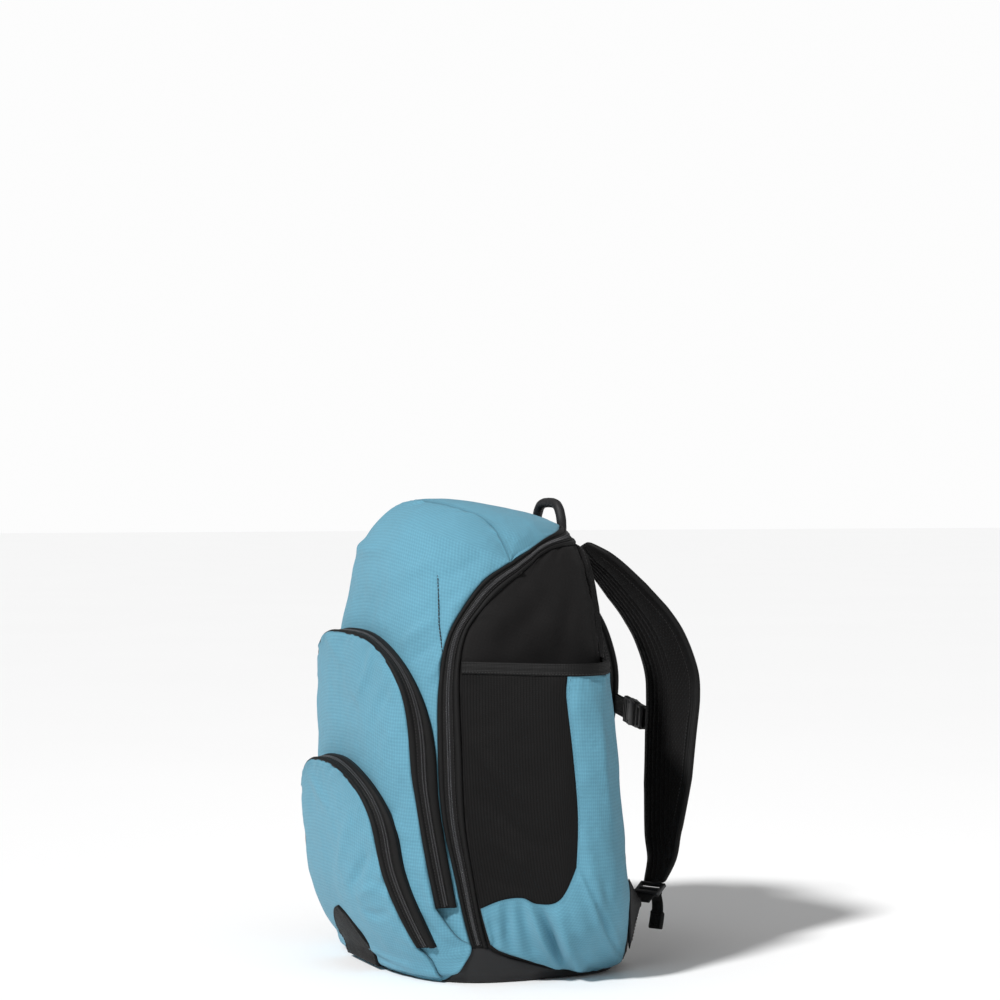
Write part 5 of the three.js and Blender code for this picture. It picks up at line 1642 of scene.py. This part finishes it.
class BACKPACK_OT_sternum_strap(Operator):
    """Make the chest strap with its slide and its side release buckle, fastened"""
    bl_idname = "backpack.sternum_strap"
    bl_label = "Chest Strap"
    bl_options = {"REGISTER", "UNDO"}

    def execute(self, context):
        def end(height):
            return np.append(strap_inner_edge(height + WEBBING_WIDTH / 2)[:2], height)

        drop = STERNUM_SLOPE * end(STERNUM_HEIGHT)[0]
        far = end(STERNUM_HEIGHT + drop) * (-1, 1, 1)
        line = end(STERNUM_HEIGHT - drop) - far
        length = np.linalg.norm(line) - 7 * HARDWARE_GAP
        run = unit(line)
        thick = unit(np.array((0, 1, 0)) - run * run[1])
        wide = np.cross(run, thick)
        far = far + run * HARDWARE_GAP
        webbing, plastic = material_of("webbing"), material_of("plastic")
        for name, first, last in (("far", -0.03, 0.40), ("near", 0.875, 1.02)):
            web = straight(far + run * first * length, far + run * last * length, wide)
            web.thick = np.tile(thick, (len(web.run), 1))
            rings = strip_rings(web, WEBBING_WIDTH, WEBBING_THICKNESS)
            piece = tube_piece("sternum_web_" + name, rings, webbing, web.run)
            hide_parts("sternum_webbing_" + name)
        fold = straight(far + run * 0.2 * length + thick * 2.1, far + run * 0.36 * length + thick * 2.1,
                        wide)
        tube_piece("sternum_web_fold", strip_rings(fold, WEBBING_WIDTH - 0.4, 1.6), webbing,
                   fold.run)
        start, stop = 0.315 * length, 0.45 * length
        half, deep = 0.65 * WEBBING_WIDTH, ADJUSTER_THICKNESS / 2
        bars = [((-half, start, -deep), (-half + 2.8, stop, deep), 1),
                ((half - 2.8, start, -deep), (half, stop, deep), 1)]
        bars += [((-half, low, -deep), (half, high, deep), 1) for low, high in
                 ((start, start + 2.6), ((start + stop) / 2 - 1.4, (start + stop) / 2 + 1.4),
                  (stop - 2.6, stop))]
        piece = moulded("sternum_slide", bars, 0.8, plastic, far, wide, run, thick)
        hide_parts("sternum_adjuster")
        start, stop = 0.46 * length, 0.715 * length
        half, deep = BUCKLE_WIDTH / 2, BUCKLE_THICKNESS / 2
        shells = [((-half, start + 6, side * deep - 1.1), (half, stop, side * deep + 1.1),
                   0.86) for side in (-0.72, 0.72)]
        shells += [
            ((-half * 0.66, start + 3, -deep * 0.8), (half * 0.66, stop - 3, deep * 0.8), 1),
            ((-half, start, -deep * 0.7), (half, start + 3.4, deep * 0.7), 1),
            ((-half, start, -deep * 0.7), (-half + 3, start + 8, deep * 0.7), 1),
            ((half - 3, start, -deep * 0.7), (half, start + 8, deep * 0.7), 1),
            ((-half * 0.45, start + 10, deep * 0.8), (half * 0.45, stop - 2, deep * 1.12), 0.8),
        ]
        piece = moulded("sternum_buckle_body", shells, 0.9, plastic, far, wide, run, thick)
        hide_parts("sternum_buckle_socket")
        first, last = 0.725 * length, 0.905 * length
        half, deep = 0.45 * BUCKLE_WIDTH, 0.4 * BUCKLE_THICKNESS
        prongs = [
            ((-half, first, -deep), (half, first + 5, deep), 1),
            ((-half, last - 3.4, -deep), (half, last, deep), 1),
            ((-half, first + 4, -deep), (-half + 3, last, deep), 1),
            ((half - 3, first + 4, -deep), (half, last, deep), 1),
            ((-half, first + 7.6, -deep), (half, first + 10, deep * 0.5), 1),
            ((-half - 1.2, first - 14, -deep * 0.6), (-half + 2.4, first + 1, deep * 0.6), 1),
            ((half - 2.4, first - 14, -deep * 0.6), (half + 1.2, first + 1, deep * 0.6), 1),
        ]
        piece = moulded("sternum_buckle_prongs", prongs, 0.8, plastic, far, wide, run, thick)
        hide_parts("sternum_buckle_plug")
        return {"FINISHED"}


def slider_mesh():
    """One zip slider: its shield, its bridge, its ring and its pull."""
    half, top = SLIDER_WIDTH / 2, SLIDER_THICKNESS / 2
    boxes = [
        ((-half, 0, -top), (half, 7, -top + 1.5), 1),
        ((-half, 6.5, -top), (half, SLIDER_LENGTH, -top + 1.5), 0.62),
        ((-half, 0, -top - 1.2), (half, SLIDER_LENGTH, -top - 0.5), 0.7),
        ((-1.3, 1.5, -top + 1.2), (1.3, 3.2, top - 0.2), 1),
        ((-1.3, 9.6, -top + 1.2), (1.3, 11.3, top - 0.2), 1),
        ((-1.3, 1.5, top - 1.2), (1.3, 11.3, top), 1),
    ]
    pull, thick = 0.35 * SLIDER_WIDTH, 0.2 * SLIDER_THICKNESS
    reach = SLIDER_LENGTH + PULL_LENGTH
    boxes += [
        ((-pull, 9, -thick), (-pull + 1.4, 14, thick), 1),
        ((pull - 1.4, 9, -thick), (pull, 14, thick), 1),
        ((-pull, 8.4, -thick), (pull, 9.8, thick), 1),
        ((-pull, 12.6, -thick), (pull, reach - 7, thick), 1),
        ((-pull, reach - 7.5, -thick), (-pull + 1.7, reach - 1.5, thick), 1),
        ((pull - 1.7, reach - 7.5, -thick), (pull, reach - 1.5, thick), 1),
        ((-pull, reach - 2, -thick), (pull, reach, thick), 0.7),
    ]
    return boxes


def leg_middle(pocket, height):
    """The middle of a pocket's zip at a height, as a share of the bag's."""
    legs = [float(half_arch(pocket[arch], height)) for arch in ("outer", "inner")]
    return (sum(legs) / 2, float(level_at(height * BAG_HEIGHT)))


class BACKPACK_OT_sliders(Operator):
    """Park a slider on each zip, on the far side"""
    bl_idname = "backpack.sliders"
    bl_label = "Zip Sliders"
    bl_options = {"REGISTER", "UNDO"}

    def execute(self, context):
        def on_main(index):
            return tuple((ZIP_FRONT_SIDE[index * FINE] + ZIP_REAR_SIDE[index * FINE]) / 2)

        def flat(angle, level):
            return np.zeros(np.shape(angle))

        for name, start, stop, face in (
            ("main_zip_slider_upper", on_main(7), on_main(8), flat),
            ("main_zip_slider_lower", on_main(6), on_main(5), flat),
            ("upper_pocket_slider", leg_middle(UPPER_POCKET, 0.394), leg_middle(UPPER_POCKET, 0.347),
             upper_face),
            ("lower_pocket_slider", leg_middle(LOWER_POCKET, 0.231), leg_middle(LOWER_POCKET, 0.197),
             lower_face),
        ):
            first, last = (np.array([-place[0], place[1]]) for place in (start, stop))

            def tape(angle, level):
                return on_bag(angle, level, face(angle, level))

            thick = outward(tape, first[0], first[1])
            origin = tape(first[0], first[1]) + thick * (2 + 2 * HARDWARE_GAP + SLIDER_THICKNESS / 2)
            ahead = tape(last[0], last[1]) - tape(first[0], first[1])
            ahead = unit(ahead - thick * (ahead @ thick))
            wide = np.cross(ahead, thick)
            piece = moulded(name + "_lacquered", slider_mesh(), 0.45, material_of("metal"),
                            origin, wide,
                            ahead, thick)
            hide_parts(name)
        return {"FINISHED"}


class BACKPACK_OT_haul_loop(Operator):
    """Make the smooth rope handle at the top of the back"""
    bl_idname = "backpack.haul_loop"
    bl_label = "Haul Loop"
    bl_options = {"REGISTER", "UNDO"}

    def execute(self, context):
        foot = on_bag(180, 9.6)
        half, y = HAUL_LOOP_WIDTH / 2, foot[1] + 0.4 * HAUL_LOOP_DIAMETER
        route = [(-half, 0), (-half, 0.5), (-0.7 * half, 0.9), (0, 1), (0.7 * half, 0.9), (half, 0.5),
                 (half, 0)]
        path = [(x, y, foot[2] + 2 + rise * HAUL_LOOP_HEIGHT) for x, rise in route]
        count = 96
        centre = curve_points(path, np.linspace(0, 1, count + 1))
        centre[0, 2] -= 3
        centre[-1, 2] -= 3
        ahead = unit(np.gradient(centre, axis=0))
        up = unit(np.cross(ahead, (0, 1, 0)))
        turns = ROUND
        radius = HAUL_LOOP_DIAMETER / 2
        run = run_lengths(centre)
        radius = radius * (1 + 0.012 * np.sin(run * 0.7))[:, None, None]
        rings = centre[:, None] + radius * (np.array((0, 1, 0)) * np.sin(turns)[None, :, None]
                                            + up[:, None] * np.cos(turns)[None, :, None])
        piece = tube_piece("haul_loop_sleeve", rings, material_of("coated cloth"), run)
        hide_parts("haul_loop")
        return {"FINISHED"}


# The photo's camera, level, with its distances in metres
CAMERA_AWAY = 2.36
CAMERA_HEIGHT = 0.435
CAMERA_LENS = 88.7
CAMERA_SHIFT = 0.023


class BACKPACK_OT_stage(Operator):
    """Set the camera, the lights and the pale floor"""
    bl_idname = "backpack.stage"
    bl_label = "Stage"
    bl_options = {"REGISTER", "UNDO"}

    def execute(self, context):
        scene = context.scene
        turn = math.radians(66.5)
        aim = Vector((math.sin(turn), -math.cos(turn), 0))
        camera = bpy.data.objects.new("camera", bpy.data.cameras.new("camera"))
        scene.collection.objects.link(camera)
        camera.location = aim * CAMERA_AWAY + Vector((0, 0, CAMERA_HEIGHT))
        camera.rotation_euler = (math.radians(90), 0, turn)
        camera.data.sensor_width = 36
        camera.data.lens = CAMERA_LENS
        camera.data.shift_x = CAMERA_SHIFT
        scene.camera = camera
        bpy.ops.object.select_all(action="DESELECT")
        bpy.ops.mesh.primitive_plane_add(size=60, location=(0, 0, 0))
        floor = context.object
        floor.name = "floor"
        material = bpy.data.materials.new("Pale floor")
        material.use_nodes = True
        graph = Graph(material.node_tree)
        shader = material.node_tree.nodes["Principled BSDF"]
        place = graph.add("ShaderNodeTexCoord").outputs["Object"]
        graph.put(graph.mix(graph.noise(place, 1.5, 2), (0.93, 0.93, 0.93, 1), (0.95, 0.95, 0.95, 1)),
                  shader.inputs["Base Color"])
        shader.inputs["Roughness"].default_value = 0.8
        floor.data.materials.append(material)
        world = bpy.data.worlds.new("Studio") if scene.world is None else scene.world
        scene.world = world
        world.use_nodes = True
        background = world.node_tree.nodes["Background"]
        background.inputs["Color"].default_value = (1, 1, 1, 1)
        graph = Graph(world.node_tree)
        seen = graph.add("ShaderNodeLightPath").outputs["Is Camera Ray"]
        graph.put(graph.math("MULTIPLY_ADD", seen, 0.7, 0.28), background.inputs["Strength"])
        side = Vector((math.cos(turn), math.sin(turn), 0))
        for name, place, size, power in (
            ("fill", aim * 1.5 + side * 1.5 + Vector((0, 0, 0.9)), 1.4, 2),
            ("top", aim * 0.2 + Vector((0, 0, 2.0)), 1.4, 4),
        ):
            light = bpy.data.objects.new(name, bpy.data.lights.new(name, "AREA"))
            scene.collection.objects.link(light)
            light.location = place
            light.data.shape = "DISK"
            light.data.size = size
            light.data.energy = power
            light.rotation_euler = (Vector((0, 0, 0.2)) - place).to_track_quat("-Z", "Y").to_euler()
        key = bpy.data.objects.new("key", bpy.data.lights.new("key", "SUN"))
        scene.collection.objects.link(key)
        key.location = aim * 1.15 - side * 0.95 + Vector((0, 0, 1.35))
        key.data.energy = 3.6
        key.data.angle = math.radians(7)
        key.rotation_euler = (-key.location).to_track_quat("-Z", "Y").to_euler()
        scene.view_settings.view_transform = "Standard"
        return {"FINISHED"}


OPERATORS = (
    BACKPACK_OT_front, BACKPACK_OT_sides, BACKPACK_OT_back, BACKPACK_OT_base, BACKPACK_OT_main_zip,
    BACKPACK_OT_pockets, BACKPACK_OT_scuff_patch, BACKPACK_OT_sleeves, BACKPACK_OT_straps,
    BACKPACK_OT_strap_feet,
    BACKPACK_OT_sternum_strap, BACKPACK_OT_sliders, BACKPACK_OT_haul_loop, BACKPACK_OT_stage,
)


class BACKPACK_PT_panel(Panel):
    """The backpack's sizes, colours and pieces in the sidebar"""
    bl_label = "Backpack"
    bl_idname = "BACKPACK_PT_panel"
    bl_space_type = "VIEW_3D"
    bl_region_type = "UI"
    bl_category = "Backpack"

    def draw(self, context):
        layout = self.layout
        for settings in (context.scene.backpack_sizes, context.scene.backpack_colours):
            column_of = layout.column()
            for key in settings.__annotations__:
                column_of.prop(settings, key)
        for operator in OPERATORS:
            layout.operator(operator.bl_idname)


CLASSES = (BackpackSizes, BackpackColours, *OPERATORS, BACKPACK_PT_panel)


def register():
    for kind in CLASSES:
        bpy.utils.register_class(kind)
    bpy.types.Scene.backpack_sizes = PointerProperty(type=BackpackSizes)
    bpy.types.Scene.backpack_colours = PointerProperty(type=BackpackColours)


def unregister():
    del bpy.types.Scene.backpack_colours
    del bpy.types.Scene.backpack_sizes
    for kind in reversed(CLASSES):
        bpy.utils.unregister_class(kind)


def main():
    register()
    for operator in OPERATORS:
        group, name = operator.bl_idname.split(".")
        getattr(getattr(bpy.ops, group), name)()


if __name__ == "__main__":
    main()
